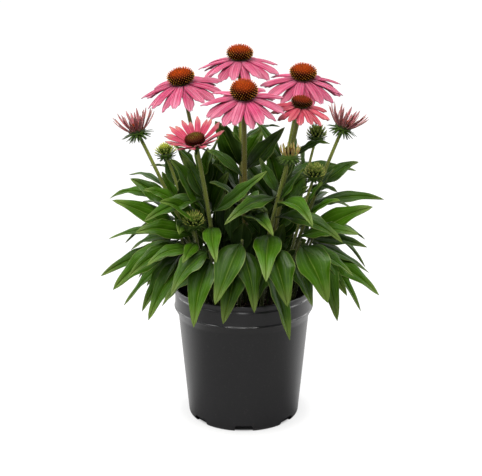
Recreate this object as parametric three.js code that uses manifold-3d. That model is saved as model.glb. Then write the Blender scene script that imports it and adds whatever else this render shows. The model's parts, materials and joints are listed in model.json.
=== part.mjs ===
// A purple coneflower in a black nursery pot.
// Thirteen flowering stems and twelve leafy shoots stand in plain holes in the potting soil.
// The heads are at every stage: tight green buds, opening rays, and full blooms with drooping
// pink rays round a spiny orange cone.
// Frame: millimetres, +Z up, origin at the centre of the pot's flat base, -Y is the plant's front.
import * as THREE from "three";
import Module from "manifold-3d";
import { mergeVertices } from "three/addons/utils/BufferGeometryUtils.js";
import { ConvexHull } from "three/addons/math/ConvexHull.js";

const wasm = await Module();
wasm.setup();

// ---------------------------------------------------------------- driving dimensions, in mm
const GAP = 0.3; // clearance kept between two pieces that touch
const MERGE_DISTANCE = 1e-4;

const POT = {
  height: 168,
  rimRadius: 84.6,
  rimWall: 2,
  lip: 5, // the rolled lip's height
  groove: 1.5, // depth of the groove under the lip
  grooveTop: 7, // the groove's edges, measured down from the pot's top
  grooveFoot: 8.5,
  collarInset: 0.5, // how far the collar lies inside the lip
  collarFoot: 140, // the collar's lower ledge
  bodyTop: 131, // where the ledge has run out into the body
  bodyRadius: 80,
  footRadius: 67.8,
  footRound: 3,
  wall: 1.8,
  floor: 3,
  sides: 30,
  notches: 7, // drainage notches round the foot
  notchWidth: 22,
  notchHeight: 6,
  notchDepth: 14,
};
const SOIL = { top: 152, mound: 4, lump: 1.5, sides: 20, rings: 1, holeDepth: 16, clear: 0.6 };
const LUMPS = [5, 9]; // how many swells go round the soil's top
const STEM = { sides: 5, steps: 3, holeClear: 0.4, holeOver: 10 };
const SHOOT_RADIUS = [2.4, 1.4];
const LEAF = {
  rib: 1.2,
  root: 0.7,
  fold: 16, // degrees that each half rises from the rib
  narrow: 22, // a blade under this width is flatter and has fewer sections
  narrowFold: 7,
  widest: 0.72,
  full: 0.78, // under 1 the blade's sides bulge
  turnedBy: 0.35, // share of the length over which the blade turns to its face angle
  sections: [0.2, 0.46, 0.74], // places of the blade's sections
  narrowSections: [0.3, 0.66],
};
// Outlines of the heads' tongues: [place along the length, share of the half width].
const LONG_RAY = [[0, 0.26], [0.32, 0.86], [0.75, 0.9], [1, 0.34]];
const SHORT_RAY = [[0, 0.4], [0.55, 1], [1, 0.4]];
const STUB_RAY = [[0, 0.9], [1, 0.5]];
const BRACT = [[0, 1], [1, 0]];
// Heads by kind. Rays and bracts: count, length, width, slope at the root and at the tip, in
// degrees above the head's own plane. Cone: widest radius, height, florets, spine length. seat
// is the ray ring's radius as a share of the cone's.
const HEADS = {
  bloom: {
    rays: [18, 43, 12, -2, -35], outline: LONG_RAY, cone: [15.5, 18, 48, 2.6], seat: 0.62,
    bracts: [5, 14, 3.4, -20, -20],
  },
  broad: {
    rays: [18, 45, 12, -4, -39], outline: LONG_RAY, cone: [16, 15, 48, 2.6], seat: 0.6,
    bracts: [5, 14, 3.4, -20, -20],
  },
  young: {
    rays: [16, 31, 9, -6, -36], outline: LONG_RAY, cone: [12.4, 9.5, 38, 2], seat: 0.66,
    bracts: [5, 12, 3.4, -20, -20],
  },
  fresh: {
    rays: [18, 28, 6.2, 31, 27], outline: SHORT_RAY, cone: [11.5, 8, 34, 1.6], seat: 0.98,
    bracts: [8, 11, 3.4, -16, -16],
  },
  opening: {
    rays: [18, 26, 3.2, 43, 58], outline: SHORT_RAY, cone: [8, 6, 20, 1.4], seat: 1.25,
    bracts: [10, 12, 3.2, -6, -6],
  },
  half_open: {
    rays: [16, 13, 2.6, 76, 80], outline: STUB_RAY, cone: [6, 4, 20, 1.4], seat: 1.55,
    bracts: [10, 12, 3.2, -6, -6],
  },
  bud: { rays: null, cone: [8.2, 11.5, 30, 2.6], seat: 0.9, bracts: [10, 10, 3.2, 8, 26] },
};
// The rays' common ring round a green peg. Every second ray lies in the upper layer; low and
// high are the two layers' places in the ring's thickness.
const RING = { thick: 2.4, hole: 0.6, sides: 8, low: 0.12, high: 0.62 };
const RAY = { ridge: 0.8, fanned: 3, curled: 5, wavers: 4, uneven: 0.05 };
const RAY_PHASE = { turn: 2.4, length: 3.1, droop: 1.7 }; // radians from one ray to the next
const CUP = { depth: 0.8, edge: 1.6, bractRoot: 0.6, bractDrop: 0.3, ridge: 1.1 };
// The cone's widest height, the sine where its foot cuts, and the normal of that flat foot.
const CONE = { belly: 0.4, lowest: -0.62, footNormal: -0.9 };
const SHOOT_LEAN = 0.4;
const GOLDEN_ANGLE = Math.PI * (3 - Math.sqrt(5));

// ---------------------------------------------------------------- the plant's layout
// A leaf leaves its stem at a height above the soil and ends at its tip [x, y, z]. wide is the
// blade's width and arch how far the leaf's middle is lifted. face turns the blade's upper side
// from the sky to the plant's front, in degrees, and stalk is the stalk's share of the length.
const leaf = (at, tip, wide, arch, face = 0, stalk = 0.1) => ({ at, tip, wide, arch, face, stalk });

// A flowering stem runs from base [x, y] at the soil to head [x, y, z], the receptacle's top.
// lean is the share of its sideways run done at its middle, and tilt is how many degrees the
// head leans and towards which bearing.
const STEMS = [
  {
    name: "flower_back", kind: "broad", base: [-2, 26], head: [-5, 84, 428], lean: 0.35,
    radius: [3.0, 2.3], tilt: [3, -90],
    leaves: [
      leaf(150, [-24, 16, 366], 27, 4, 30), leaf(164, [-12, 66, 354], 20, 8),
      leaf(178, [45, 84, 345], 15, 16), leaf(132, [22, 36, 346], 22, 6, 30),
      leaf(120, [-52, 116, 300], 26, 20), leaf(104, [38, 132, 280], 27, 23),
      leaf(88, [-28, 138, 250], 30, 24), leaf(116, [-36, 4, 318], 26, 2, 60),
      leaf(72, [32, 8, 262], 26, 2, 60), leaf(86, [-36, 32, 272], 28, 2, 60),
      leaf(118, [-39, 34, 328], 30, 2, 65), leaf(98, [-46, 30, 306], 28, 2, 65),
      leaf(148, [-35, 58, 358], 32, 2, 70), leaf(150, [23, 66, 346], 26, 2, 60),
      leaf(78, [-34, 22, 251], 30, 2, 60), leaf(60, [-29, 22, 219], 30, 4, 60),
      leaf(58, [25, 16, 226], 30, 4, 60), leaf(44, [-47, 24, 198], 30, 4, 50),
      leaf(40, [23, 20, 204], 30, 4, 50),
    ],
  },
  {
    name: "flower_right", kind: "broad", base: [26, 16], head: [71, 46, 412], lean: 0.4,
    radius: [2.9, 2.2], tilt: [10, -75],
    leaves: [
      leaf(156, [14, 30, 366], 18, 6, 40), leaf(150, [64, 52, 338], 15, 14, 20),
      leaf(138, [120, 34, 306], 22, 14, 25), leaf(118, [88, 108, 292], 24, 19),
      leaf(96, [52, 124, 262], 28, 22), leaf(104, [-2, 8, 322], 26, 0, 60),
      leaf(126, [29, 34, 329], 28, 2, 65), leaf(84, [76, 30, 294], 30, 4, 60),
      leaf(62, [85, 26, 260], 30, 4, 60), leaf(52, [59, 14, 227], 28, 4, 60),
      leaf(38, [77, 12, 220], 28, 4, 50), leaf(96, [79, 20, 286], 20, 2, 60),
    ],
  },
  {
    name: "flower_front", kind: "bloom", base: [2, -18], head: [0, -60, 412], lean: 0.45,
    radius: [3.3, 2.8], tilt: [15, -90],
    leaves: [
      leaf(170, [48, -20, 369], 26, -4, 40), leaf(160, [-46, -12, 339], 15, 12, 20),
      leaf(132, [12, -102, 296], 20, 20, 20), leaf(104, [33, -130, 270], 30, 22, 10),
      leaf(122, [-40, -58, 312], 20, 14, 30), leaf(112, [28, -78, 281], 18, 16, 10),
    ],
  },
  {
    name: "flower_left", kind: "broad", base: [-26, 14], head: [-73.5, 20, 412], lean: 0.42,
    radius: [2.7, 2.1], tilt: [12, -135],
    leaves: [
      leaf(150, [-84, 2, 342], 17, 8, 40), leaf(132, [-116, 66, 300], 20, 16),
      leaf(112, [-82, 104, 284], 26, 20), leaf(96, [-54, 122, 250], 28, 23),
      leaf(136, [-28, -2, 356], 24, 2, 55), leaf(84, [-76, 4, 284], 26, 6, 55),
      leaf(60, [12, 2, 262], 26, 2, 60), leaf(118, [-91, 4, 317], 26, 4, 60),
      leaf(108, [-75, 8, 331], 24, 4, 60), leaf(92, [-59, 6, 332], 26, 2, 60),
      leaf(110, [-26, 28, 327], 26, 2, 80), leaf(96, [-18, 0, 309], 28, 0, 65),
      leaf(62, [-17, 6, 266], 28, 2, 60), leaf(66, [-72, 6, 255], 28, 4, 60),
      leaf(100, [-79, 12, 334], 22, 2, 60), leaf(128, [-43, 18, 335], 22, 2, 60),
      leaf(44, [-48, 8, 214], 28, 4, 50), leaf(80, [-35, 2, 265], 24, 2, 60),
    ],
  },
  {
    name: "flower_right_low", kind: "young", base: [24, -6], head: [66, -30, 395], lean: 0.4,
    radius: [3.0, 2.5], tilt: [9, -40],
    leaves: [
      leaf(178, [102, -12, 347], 12, 14, 20), leaf(128, [62, -34, 335], 22, 2, 50),
      leaf(112, [76, 16, 300], 24, 12, 50), leaf(90, [4, 2, 300], 22, 2, 55),
      leaf(65, [-9, -9, 266], 23, 3, 55), leaf(84, [63, -4, 280], 24, 2, 60),
      leaf(43, [65, -9, 201], 25, 4, 60),
    ],
  },
  {
    name: "flower_left_low", kind: "fresh", base: [-27, -38], head: [-54, -95, 368], lean: 0.35,
    radius: [2.9, 2.3], tilt: [18, -120],
    leaves: [
      leaf(145, [-116, -72, 269], 24, 12, 40), leaf(108, [-31, -140, 242], 22, 16, 0),
      leaf(124, [26, -110, 340], 22, -6, 50), leaf(142, [-70, -58, 343], 20, -2, 40),
    ],
  },
  {
    name: "opening_left", kind: "opening", base: [-40, -4], head: [-126, -10, 361.5], lean: 0.42,
    radius: [2.5, 2.0], tilt: [13, 180],
    leaves: [
      leaf(140, [-142, 58, 290], 10, 14, 15), leaf(116, [-136, 0, 301], 22, 4, 50),
      leaf(116, [-164, 28, 268], 14, 26, 25), leaf(79, [-156, -24, 281], 33, 5, 50),
      leaf(80, [-165, 10, 222], 16, 18, 30), leaf(104, [-128, 64, 250], 22, 22),
      leaf(66, [-79, 0, 279], 26, 4, 60), leaf(88, [-98, 0, 310], 22, 3, 60),
    ],
  },
  {
    name: "opening_right", kind: "opening", base: [44, 0], head: [118, 5, 363], lean: 0.42,
    radius: [2.5, 2.0], tilt: [20, 0],
    leaves: [
      leaf(138, [138, 10, 319], 20, 6, 45), leaf(115, [171, 20, 269], 17, 15, 30),
      leaf(74, [153, -28, 274], 34, 2, 50), leaf(76, [150, -2, 215], 24, 8, 30),
      leaf(126, [106, -34, 322], 16, 2, 40),
    ],
  },
  {
    name: "bud_left", kind: "bud", base: [-36, -22], head: [-91, -35, 340], lean: 0.42,
    radius: [2.2, 1.8], tilt: [10, 150],
    leaves: [
      leaf(145, [-92, -16, 334], 16, 2, 40), leaf(118, [-118, -40, 298], 18, 13, 40),
      leaf(84, [-127, -54, 250], 28, 14, 40), leaf(100, [-74, -98, 262], 20, 10, 30),
    ],
  },
  {
    name: "bud_right", kind: "bud", base: [46, 24], head: [89, 55, 339], lean: 0.42,
    radius: [2.0, 1.5], tilt: [4, 0],
    leaves: [
      leaf(118, [114, 22, 278], 17, 14, 30), leaf(130, [140, 70, 292], 17, 17, 10),
      leaf(96, [136, 52, 248], 20, 22, 15), leaf(78, [108, 98, 256], 26, 20),
      leaf(116, [72, 56, 328], 20, 0, 60),
    ],
  },
  {
    name: "bud_front", kind: "half_open", base: [14, -40], head: [52, -85, 351], lean: 0.35,
    radius: [2.6, 2.2], tilt: [3, -90],
    leaves: [
      leaf(146, [-22, -136, 285], 20, 18, 20), leaf(98, [25, -140, 219], 34, 20, 0),
      leaf(132, [77, -130, 281], 26, 30, 10), leaf(120, [114, -90, 249], 26, 20, 30),
      leaf(140, [68, -74, 334], 15, -4, 40), leaf(150, [18, -56, 342], 14, -2, 40),
    ],
  },
  {
    name: "bud_right_low", kind: "bud", base: [42, -18], head: [83, -25, 311], lean: 0.42,
    radius: [2.0, 1.6], tilt: [6, -60],
    leaves: [
      leaf(98, [112, -56, 290], 18, 12, 40), leaf(80, [134, -62, 250], 24, 17, 35),
      leaf(112, [92, -54, 312], 15, 4, 40),
    ],
  },
  {
    name: "bud_left_low", kind: "bud", base: [-44, -40], head: [-58, -75, 267], lean: 0.4,
    radius: [1.9, 1.6], tilt: [8, -100],
    leaves: [
      leaf(76, [-112, -92, 222], 20, 22, 30), leaf(90, [-70, -112, 232], 16, 8, 20),
    ],
  },
];

// A leafy shoot bears no flower. It runs from base [x, y] at the soil to top [x, y, z].
const SHOOTS = [
  {
    name: "shoot_west", base: [-54, 4], top: [-78, 6, 236],
    leaves: [
      leaf(73, [-176, 6, 175], 22, 1, 35), leaf(66, [-147, -8, 142], 20, 9, 30),
      leaf(72, [-141, 45, 196], 16, 18, 20), leaf(50, [-120, 12, 160], 22, 17, 40),
    ],
  },
  {
    name: "shoot_west_front", base: [-56, -24], top: [-74, -40, 238],
    leaves: [
      leaf(84, [-157, -38, 173], 30, 13, 40), leaf(70, [-122, -48, 149], 25, 15, 30),
      leaf(62, [-113, -72, 147], 25, 16, 20), leaf(76, [-136, -70, 200], 22, 17, 40),
    ],
  },
  {
    name: "shoot_front_left", base: [-30, -58], top: [-40, -82, 238],
    leaves: [
      leaf(84, [-84, -108, 191], 28, 21, 30), leaf(74, [-58, -116, 155], 32, 22, 0),
      leaf(62, [-96, -80, 168], 26, 17, 20),
    ],
  },
  {
    name: "shoot_front", base: [-6, -60], top: [-2, -88, 252],
    leaves: [
      leaf(98, [-33, -130, 188], 38, 17, 0), leaf(78, [-24, -118, 160], 34, 20, 0),
      leaf(88, [12, -124, 176], 28, 19, 0),
    ],
  },
  {
    name: "shoot_front_mid", base: [20, -62], top: [30, -86, 246],
    leaves: [
      leaf(90, [50, -126, 184], 38, 18, 0), leaf(74, [53, -118, 140], 32, 22, 0),
      leaf(60, [12, -98, 174], 26, 14, 0),
    ],
  },
  {
    name: "shoot_front_right", base: [44, -44], top: [66, -68, 244],
    leaves: [
      leaf(88, [97, -102, 180], 42, 18, 15), leaf(64, [80, -92, 172], 26, 14, 10),
      leaf(82, [128, -78, 204], 22, 17, 30),
    ],
  },
  {
    name: "shoot_east", base: [60, -12], top: [84, -18, 236],
    leaves: [
      leaf(66, [165, -16, 158], 26, 7, 35), leaf(72, [142, -28, 142], 20, 24, 35),
      leaf(64, [112, -54, 139], 32, 26, 20), leaf(76, [154, 8, 179], 16, 8, 25),
      leaf(58, [124, -40, 166], 22, 18, 40),
    ],
  },
  {
    name: "shoot_east_back", base: [60, 22], top: [88, 32, 234],
    leaves: [
      leaf(80, [152, 38, 176], 22, 19, 10), leaf(76, [153, 64, 204], 22, 20, 0),
      leaf(60, [134, 74, 150], 28, 21, -15), leaf(68, [108, 88, 168], 28, 19, -20),
    ],
  },
  {
    name: "shoot_back_right", base: [30, 50], top: [46, 80, 238],
    leaves: [
      leaf(82, [84, 122, 188], 32, 19, -10), leaf(70, [64, 124, 148], 32, 22, 0),
      leaf(84, [34, 138, 200], 34, 18, 0), leaf(60, [98, 96, 152], 26, 19, -20),
    ],
  },
  {
    name: "shoot_back", base: [2, 58], top: [0, 88, 246],
    leaves: [
      leaf(90, [-12, 142, 196], 34, 18, 0), leaf(72, [20, 132, 150], 32, 22, 0),
      leaf(82, [-42, 132, 168], 30, 21, 0),
    ],
  },
  {
    name: "shoot_back_left", base: [-28, 50], top: [-48, 76, 238],
    leaves: [
      leaf(84, [-84, 124, 190], 34, 19, -10), leaf(70, [-66, 120, 148], 30, 22, 0),
      leaf(62, [-98, 92, 152], 26, 19, -20), leaf(47, [-20, 38, 207], 28, 5, 40),
    ],
  },
  {
    name: "shoot_west_back", base: [-54, 30], top: [-80, 46, 236],
    leaves: [
      leaf(84, [-150, 74, 196], 28, 20, -10), leaf(72, [-130, 76, 152], 28, 23, -20),
      leaf(78, [-112, 104, 180], 28, 20, -20), leaf(58, [-132, 44, 160], 24, 18, 0),
    ],
  },
];

// ---------------------------------------------------------------- solids from vertices
const toRadians = (degrees) => (degrees * Math.PI) / 180;
const UP = new THREE.Vector3(0, 0, 1);

function solidFromFaces(points, triangles) {
  const vertProperties = new Float32Array(points.length * 3);
  points.forEach((p, i) => vertProperties.set([p.x, p.y, p.z], i * 3));
  const triVerts = new Uint32Array(triangles);
  return new wasm.Manifold(new wasm.Mesh({ numProp: 3, vertProperties, triVerts }));
}

// A closed solid from a three.js geometry, placed by a matrix.
function solidFromGeometry(geometry, matrix = new THREE.Matrix4()) {
  const bare = geometry.clone().applyMatrix4(matrix);
  bare.deleteAttribute("normal");
  bare.deleteAttribute("uv");
  const merged = mergeVertices(bare, MERGE_DISTANCE);
  const vertProperties = merged.attributes.position.array;
  const triVerts = new Uint32Array(merged.index.array);
  return new wasm.Manifold(new wasm.Mesh({ numProp: 3, vertProperties, triVerts }));
}

// A skin over rings of points, turning counterclockwise seen from the last ring back to the
// first. All rings have the same count, but the last may be a single point. Neighbouring quads
// are cut along mirrored diagonals, so that the two sides of a thin twisted blade stay apart.
function loft(rings) {
  const faces = [];
  const n = rings[0].length;
  for (let k = 0; k + 1 < rings.length; k++) {
    const start = k * n;
    for (let i = 0; i < n; i++) {
      const a = start + i;
      const b = start + ((i + 1) % n);
      if (rings[k + 1].length === 1) faces.push(a, b, start + n);
      else if (i % 2) faces.push(a, b, a + n, b, b + n, a + n);
      else faces.push(a, b, b + n, a, b + n, a + n);
    }
  }
  const last = (rings.length - 1) * n;
  for (let i = 1; i + 1 < n; i++) {
    faces.push(0, i + 1, i);
    if (rings[rings.length - 1].length > 1) faces.push(last, last + i, last + i + 1);
  }
  return solidFromFaces(rings.flat(), faces);
}

// A solid of revolution about the local Z axis; the profile's points are [radius, height].
function latheSolid(profile, sides, matrix = new THREE.Matrix4()) {
  const points = profile.map(([radius, height]) => new THREE.Vector2(radius, height));
  const upright = matrix.clone().multiply(new THREE.Matrix4().makeRotationX(Math.PI / 2));
  return solidFromGeometry(new THREE.LatheGeometry(points, sides), upright);
}

// Joins pieces and keeps the one body that holds together.
function fuse(pieces) {
  const bodies = wasm.Manifold.union(pieces).decompose();
  return bodies.reduce((a, b) => (a.volume() > b.volume() ? a : b));
}

// ---------------------------------------------------------------- stems
// The stem's axis, from the soil's level to its top. Its height rises evenly with t.
function stemAxis([x, y], top, lean) {
  const foot = new THREE.Vector3(x, y, SOIL.top);
  const end = new THREE.Vector3(...top);
  const middle = foot.clone().lerp(end, lean).setZ((foot.z + end.z) / 2);
  return new THREE.QuadraticBezierCurve3(foot, middle, end);
}

function stemRing(centre, along, radius) {
  const side = new THREE.Vector3(0, 1, 0).cross(along).normalize();
  const other = along.clone().cross(side);
  return Array.from({ length: STEM.sides }, (_, i) => {
    const a = (i / STEM.sides) * 2 * Math.PI;
    return centre.clone()
      .addScaledVector(side, Math.cos(a) * radius)
      .addScaledVector(other, Math.sin(a) * radius);
  });
}

// A round stem that tapers along its axis; its foot goes on straight into the soil.
function stemSolid(axis, [low, high]) {
  const rings = [];
  const along = axis.getTangent(0);
  for (const depth of [SOIL.holeDepth - GAP, 0]) {
    rings.push(stemRing(axis.getPoint(0).addScaledVector(along, -depth), along, low));
  }
  for (let k = 1; k <= STEM.steps; k++) {
    const t = k / STEM.steps;
    rings.push(stemRing(axis.getPoint(t), axis.getTangent(t), low + (high - low) * t));
  }
  return loft(rings);
}

// The hole in the soil for a stem, along the line of its foot.
function holeSolid(axis, [low]) {
  const along = axis.getTangent(0);
  const ends = [-SOIL.holeDepth, STEM.holeOver];
  return loft(
    ends.map((reach) =>
      stemRing(axis.getPoint(0).addScaledVector(along, reach), along, low + STEM.holeClear),
    ),
  );
}

// ---------------------------------------------------------------- leaves
// Half the blade's width at u along it, as a share of the widest.
function bladeShare(u) {
  return Math.pow(Math.sin(Math.PI * Math.pow(u, LEAF.widest)), LEAF.full);
}

// One leaf: a narrow stalk and a lance-shaped blade, folded along its rib.
function leafSolid(root, { tip: end, wide, arch, face, stalk }) {
  const tip = new THREE.Vector3(...end);
  const middle = root.clone().lerp(tip, 0.5).addScaledVector(UP, arch);
  const rib = new THREE.QuadraticBezierCurve3(root, middle, tip);
  const heading = Math.atan2(tip.y - root.y, tip.x - root.x);
  const across = new THREE.Vector3(-Math.sin(heading), Math.cos(heading), 0);
  const turn = toRadians(face) * (Math.cos(heading) < 0 ? -1 : 1);
  const isNarrow = wide < LEAF.narrow;
  const fold = toRadians(isNarrow ? LEAF.narrowFold : LEAF.fold);
  const sections = isNarrow ? LEAF.narrowSections : LEAF.sections;
  const rings = [0, ...sections, 1].map((u) => {
    const t = u === 0 ? 0 : stalk + (1 - stalk) * u;
    const centre = rib.getPoint(t);
    if (u === 1) return [centre];
    const along = rib.getTangent(t);
    const turned = turn * Math.min(1, t / LEAF.turnedBy);
    const side = across.clone().applyAxisAngle(along, turned);
    const normal = along.clone().cross(side).normalize();
    const half = u === 0 ? LEAF.root : (wide / 2) * bladeShare(u);
    const corner = (x, z) =>
      centre.clone().addScaledVector(side, x).addScaledVector(normal, z);
    return [
      corner(half * Math.cos(fold), half * Math.sin(fold)),
      corner(0, LEAF.rib / 2),
      corner(-half * Math.cos(fold), half * Math.sin(fold)),
      corner(0, -LEAF.rib / 2),
    ];
  });
  return loft(rings);
}

// The leaves of one stem, each rooted on the stem's axis.
function leafSolids(leaves, axis, height) {
  return leaves.map((row) => leafSolid(axis.getPoint(row.at / height), row));
}

// ---------------------------------------------------------------- heads
// The head's own frame: its origin on the receptacle's top, +Z along the cone.
function headFrame({ head, tilt: [degrees, towards] }) {
  const bearing = toRadians(towards);
  const hinge = new THREE.Vector3(-Math.sin(bearing), Math.cos(bearing), 0);
  return new THREE.Matrix4()
    .makeTranslation(...head)
    .multiply(new THREE.Matrix4().makeRotationAxis(hinge, toRadians(degrees)));
}

// A three-sided tongue that leaves the axis at a bearing and bends as it goes, flat below and
// ridged above. Its root is at [radius, height].
function tongueSolid(bearing, [, length, width, rootSlope, tipSlope], root, outline, ridge) {
  const out = new THREE.Vector3(Math.cos(bearing), Math.sin(bearing), 0);
  const across = new THREE.Vector3(-Math.sin(bearing), Math.cos(bearing), 0);
  const slopeAt = (u) => toRadians(rootSlope + (tipSlope - rootSlope) * u);
  const centre = out.clone().multiplyScalar(root[0]).setZ(root[1]);
  const rings = outline.map(([u, share], k) => {
    if (k > 0) {
      const before = outline[k - 1][0];
      const run = length * (u - before);
      const slope = slopeAt((u + before) / 2);
      centre.addScaledVector(out, Math.cos(slope) * run).addScaledVector(UP, Math.sin(slope) * run);
    }
    if (share === 0) return [centre.clone()];
    const slope = slopeAt(u);
    const normal = out.clone().multiplyScalar(-Math.sin(slope)).setZ(Math.cos(slope));
    const half = (width / 2) * share;
    return [
      centre.clone().addScaledVector(across, half),
      centre.clone().addScaledVector(normal, ridge),
      centre.clone().addScaledVector(across, -half),
    ];
  });
  return loft(rings);
}

// The pink rays, in a lower and an upper layer, on one ring round the receptacle's peg.
function raysSolid({ rays, outline, cone, seat }, frame) {
  const outer = cone[0] * seat;
  const inner = outer * RING.hole;
  const profile = [[inner, 0], [outer, 0], [outer, RING.thick], [inner, RING.thick], [inner, 0]];
  const pieces = [latheSolid(profile, RING.sides)];
  for (let i = 0; i < rays[0]; i++) {
    const upper = i % 2;
    const bearing = (i / rays[0]) * 2 * Math.PI + RAY.uneven * Math.sin(i * RAY_PHASE.turn);
    const [count, length, width, rootSlope, tipSlope] = rays;
    const ray = [
      count,
      length * (1 + RAY.uneven * Math.sin(i * RAY_PHASE.length)),
      width,
      rootSlope + (upper ? RAY.fanned : -RAY.fanned),
      tipSlope + (upper ? RAY.curled : -RAY.curled) + RAY.wavers * Math.sin(i * RAY_PHASE.droop),
    ];
    const root = [(inner + outer) / 2, RING.thick * (upper ? RING.high : RING.low)];
    pieces.push(tongueSolid(bearing, ray, root, outline, RAY.ridge));
  }
  return fuse(pieces).transform(frame.elements);
}

// The green receptacle with its bracts, from the stem's end up through the ring's hole.
function receptacleSolids({ rays, cone, seat, bracts }, frame, stemRadius) {
  const wide = cone[0] * seat;
  const depth = wide * CUP.depth;
  const peg = wide * RING.hole - GAP;
  const cup = [[0, -depth], [stemRadius, -depth], [wide, -CUP.edge]];
  const profile = rays
    ? [...cup, [wide, -GAP], [peg, -GAP], [peg, RING.thick], [0, RING.thick]]
    : [...cup, [wide, 0], [0, 0]];
  const pieces = [latheSolid(profile, RING.sides)];
  const root = [wide * CUP.bractRoot, -depth * CUP.bractDrop];
  for (let i = 0; i < bracts[0]; i++) {
    const bearing = (i / bracts[0]) * 2 * Math.PI;
    pieces.push(tongueSolid(bearing, bracts, root, BRACT, CUP.ridge));
  }
  return pieces.map((piece) => piece.transform(frame.elements));
}

// The cone: a dome whose florets stand on a golden-angle spiral. Each floret is a point of the
// skin, and the skin dips at the middle of every triangle between three of them.
function coneSolid({ rays, cone: [radius, height, count, spine] }, frame) {
  const { belly, lowest } = CONE;
  const florets = Array.from({ length: count }, (_, i) => {
    const z = 1 - ((i + 0.5) / count) * (1 - lowest);
    const ring = Math.sqrt(1 - z * z);
    return new THREE.Vector3(
      ring * Math.cos(i * GOLDEN_ANGLE),
      ring * Math.sin(i * GOLDEN_ANGLE),
      z,
    );
  });
  const place = (unit, grow) => {
    const rise = unit.z > 0 ? height * (1 - belly) : (height * belly) / -lowest;
    const wide = radius + grow;
    return new THREE.Vector3(unit.x * wide, unit.y * wide, unit.z * (rise + grow));
  };
  const points = florets.map((floret) => place(floret, spine / 2));
  const hull = new ConvexHull().setFromPoints(florets);
  const corners = (face) =>
    [face.edge, face.edge.next, face.edge.prev].map((edge) => florets.indexOf(edge.tail().point));
  const dips = new Map();
  for (const face of hull.faces) {
    if (face.normal.z < CONE.footNormal) continue;
    const middle = corners(face).reduce((sum, i) => sum.add(florets[i]), new THREE.Vector3());
    dips.set(face, points.length);
    points.push(place(middle.normalize(), -spine / 2));
  }
  const triangles = [];
  for (const face of hull.faces) {
    if (!dips.has(face)) {
      triangles.push(...corners(face));
      continue;
    }
    for (const edge of [face.edge, face.edge.next, face.edge.prev]) {
      const a = florets.indexOf(edge.tail().point);
      const b = florets.indexOf(edge.head().point);
      const dip = dips.get(face);
      const next = dips.get(edge.twin.face);
      if (next === undefined) triangles.push(a, b, dip);
      else if (a < b) triangles.push(a, next, dip, next, b, dip);
    }
  }
  const lift = GAP + (rays ? RING.thick : 0) - Math.min(...points.map((p) => p.z));
  points.forEach((p) => p.setZ(p.z + lift));
  return solidFromFaces(points, triangles).transform(frame.elements);
}

// ---------------------------------------------------------------- pot and soil
function potSolid() {
  const p = POT;
  const slope = (p.bodyRadius - p.footRadius) / p.bodyTop;
  const outside = [
    [0, 0],
    [p.footRadius - p.footRound, 0],
    [p.footRadius + slope * p.footRound, p.footRound],
    [p.bodyRadius, p.bodyTop],
    [p.rimRadius - p.collarInset, p.collarFoot],
    [p.rimRadius - p.collarInset, p.height - p.grooveFoot],
    [p.rimRadius - p.groove, p.height - p.grooveTop],
    [p.rimRadius, p.height - p.lip],
    [p.rimRadius, p.height],
  ];
  const inside = [
    [p.rimRadius - p.rimWall, p.height],
    [p.rimRadius - p.rimWall - p.groove, p.height - p.lip],
    [p.bodyRadius - p.wall, p.bodyTop],
    [p.footRadius - p.wall, p.floor],
    [0, p.floor],
  ];
  const shell = latheSolid([...outside, ...inside], p.sides);
  const notches = Array.from({ length: p.notches }, (_, i) => {
    const bearing = -Math.PI / 2 + (i / p.notches) * 2 * Math.PI;
    const place = new THREE.Matrix4()
      .makeRotationZ(bearing)
      .multiply(new THREE.Matrix4().makeTranslation(p.footRadius, 0, 0));
    const notch = new THREE.BoxGeometry(p.notchDepth, p.notchWidth, p.notchHeight * 2);
    return solidFromGeometry(notch, place);
  });
  return shell.subtract(wasm.Manifold.union(notches));
}

// The soil fills the pot to its collar, with a lumpy top and a plain hole for every stem.
function soilSolid(holes) {
  const { top, mound, lump, sides, rings, clear } = SOIL;
  const ring = (radius, z, roughness) =>
    Array.from({ length: sides }, (_, i) => {
      const a = (i / sides) * 2 * Math.PI;
      const bump = Math.sin(a * LUMPS[0] + radius) + Math.sin(a * LUMPS[1] + radius);
      const height = z + (roughness / 2) * bump;
      return new THREE.Vector3(Math.cos(a) * radius, Math.sin(a) * radius, height);
    });
  const wide = POT.bodyRadius - POT.wall - clear;
  const layers = [
    ring(POT.footRadius - POT.wall - clear, POT.floor + GAP, 0),
    ring(wide, POT.bodyTop, 0),
    ring(wide, top - mound, 0),
  ];
  for (let k = rings; k > 0; k--) {
    const share = k / (rings + 0.5);
    layers.push(ring(wide * share, top - mound * share, lump));
  }
  layers.push([new THREE.Vector3(0, 0, top)]);
  return loft(layers).subtract(wasm.Manifold.union(holes));
}

// ---------------------------------------------------------------- assembly
const COLOURS = {
  pot: [0x2b2b2e, 0.55],
  soil: [0x3a2a1e, 0.95],
  green: [0x4a7a2c, 0.6],
  pink: [0xe0649a, 0.6],
  salmon: [0xe86a78, 0.6],
  yellow: [0xd9c27a, 0.6],
  orange: [0xb5481a, 0.75],
  bud: [0x7a8a2a, 0.75],
};
const RAY_COLOUR = {
  bloom: "pink",
  broad: "pink",
  young: "salmon",
  fresh: "salmon",
  opening: "pink",
  half_open: "yellow",
};
const GREEN_CONES = ["half_open", "bud"];
const plant = new THREE.Group();

function addNode(name, solid, colour) {
  const { vertProperties, triVerts } = solid.getMesh();
  const geometry = new THREE.BufferGeometry();
  geometry.setAttribute("position", new THREE.BufferAttribute(vertProperties, 3));
  geometry.setIndex(new THREE.BufferAttribute(triVerts, 1));
  geometry.computeVertexNormals();
  const [color, roughness] = COLOURS[colour];
  const material = new THREE.MeshStandardMaterial({ color, roughness, metalness: 0 });
  const node = new THREE.Mesh(geometry, material);
  node.name = name;
  plant.add(node);
}

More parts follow.
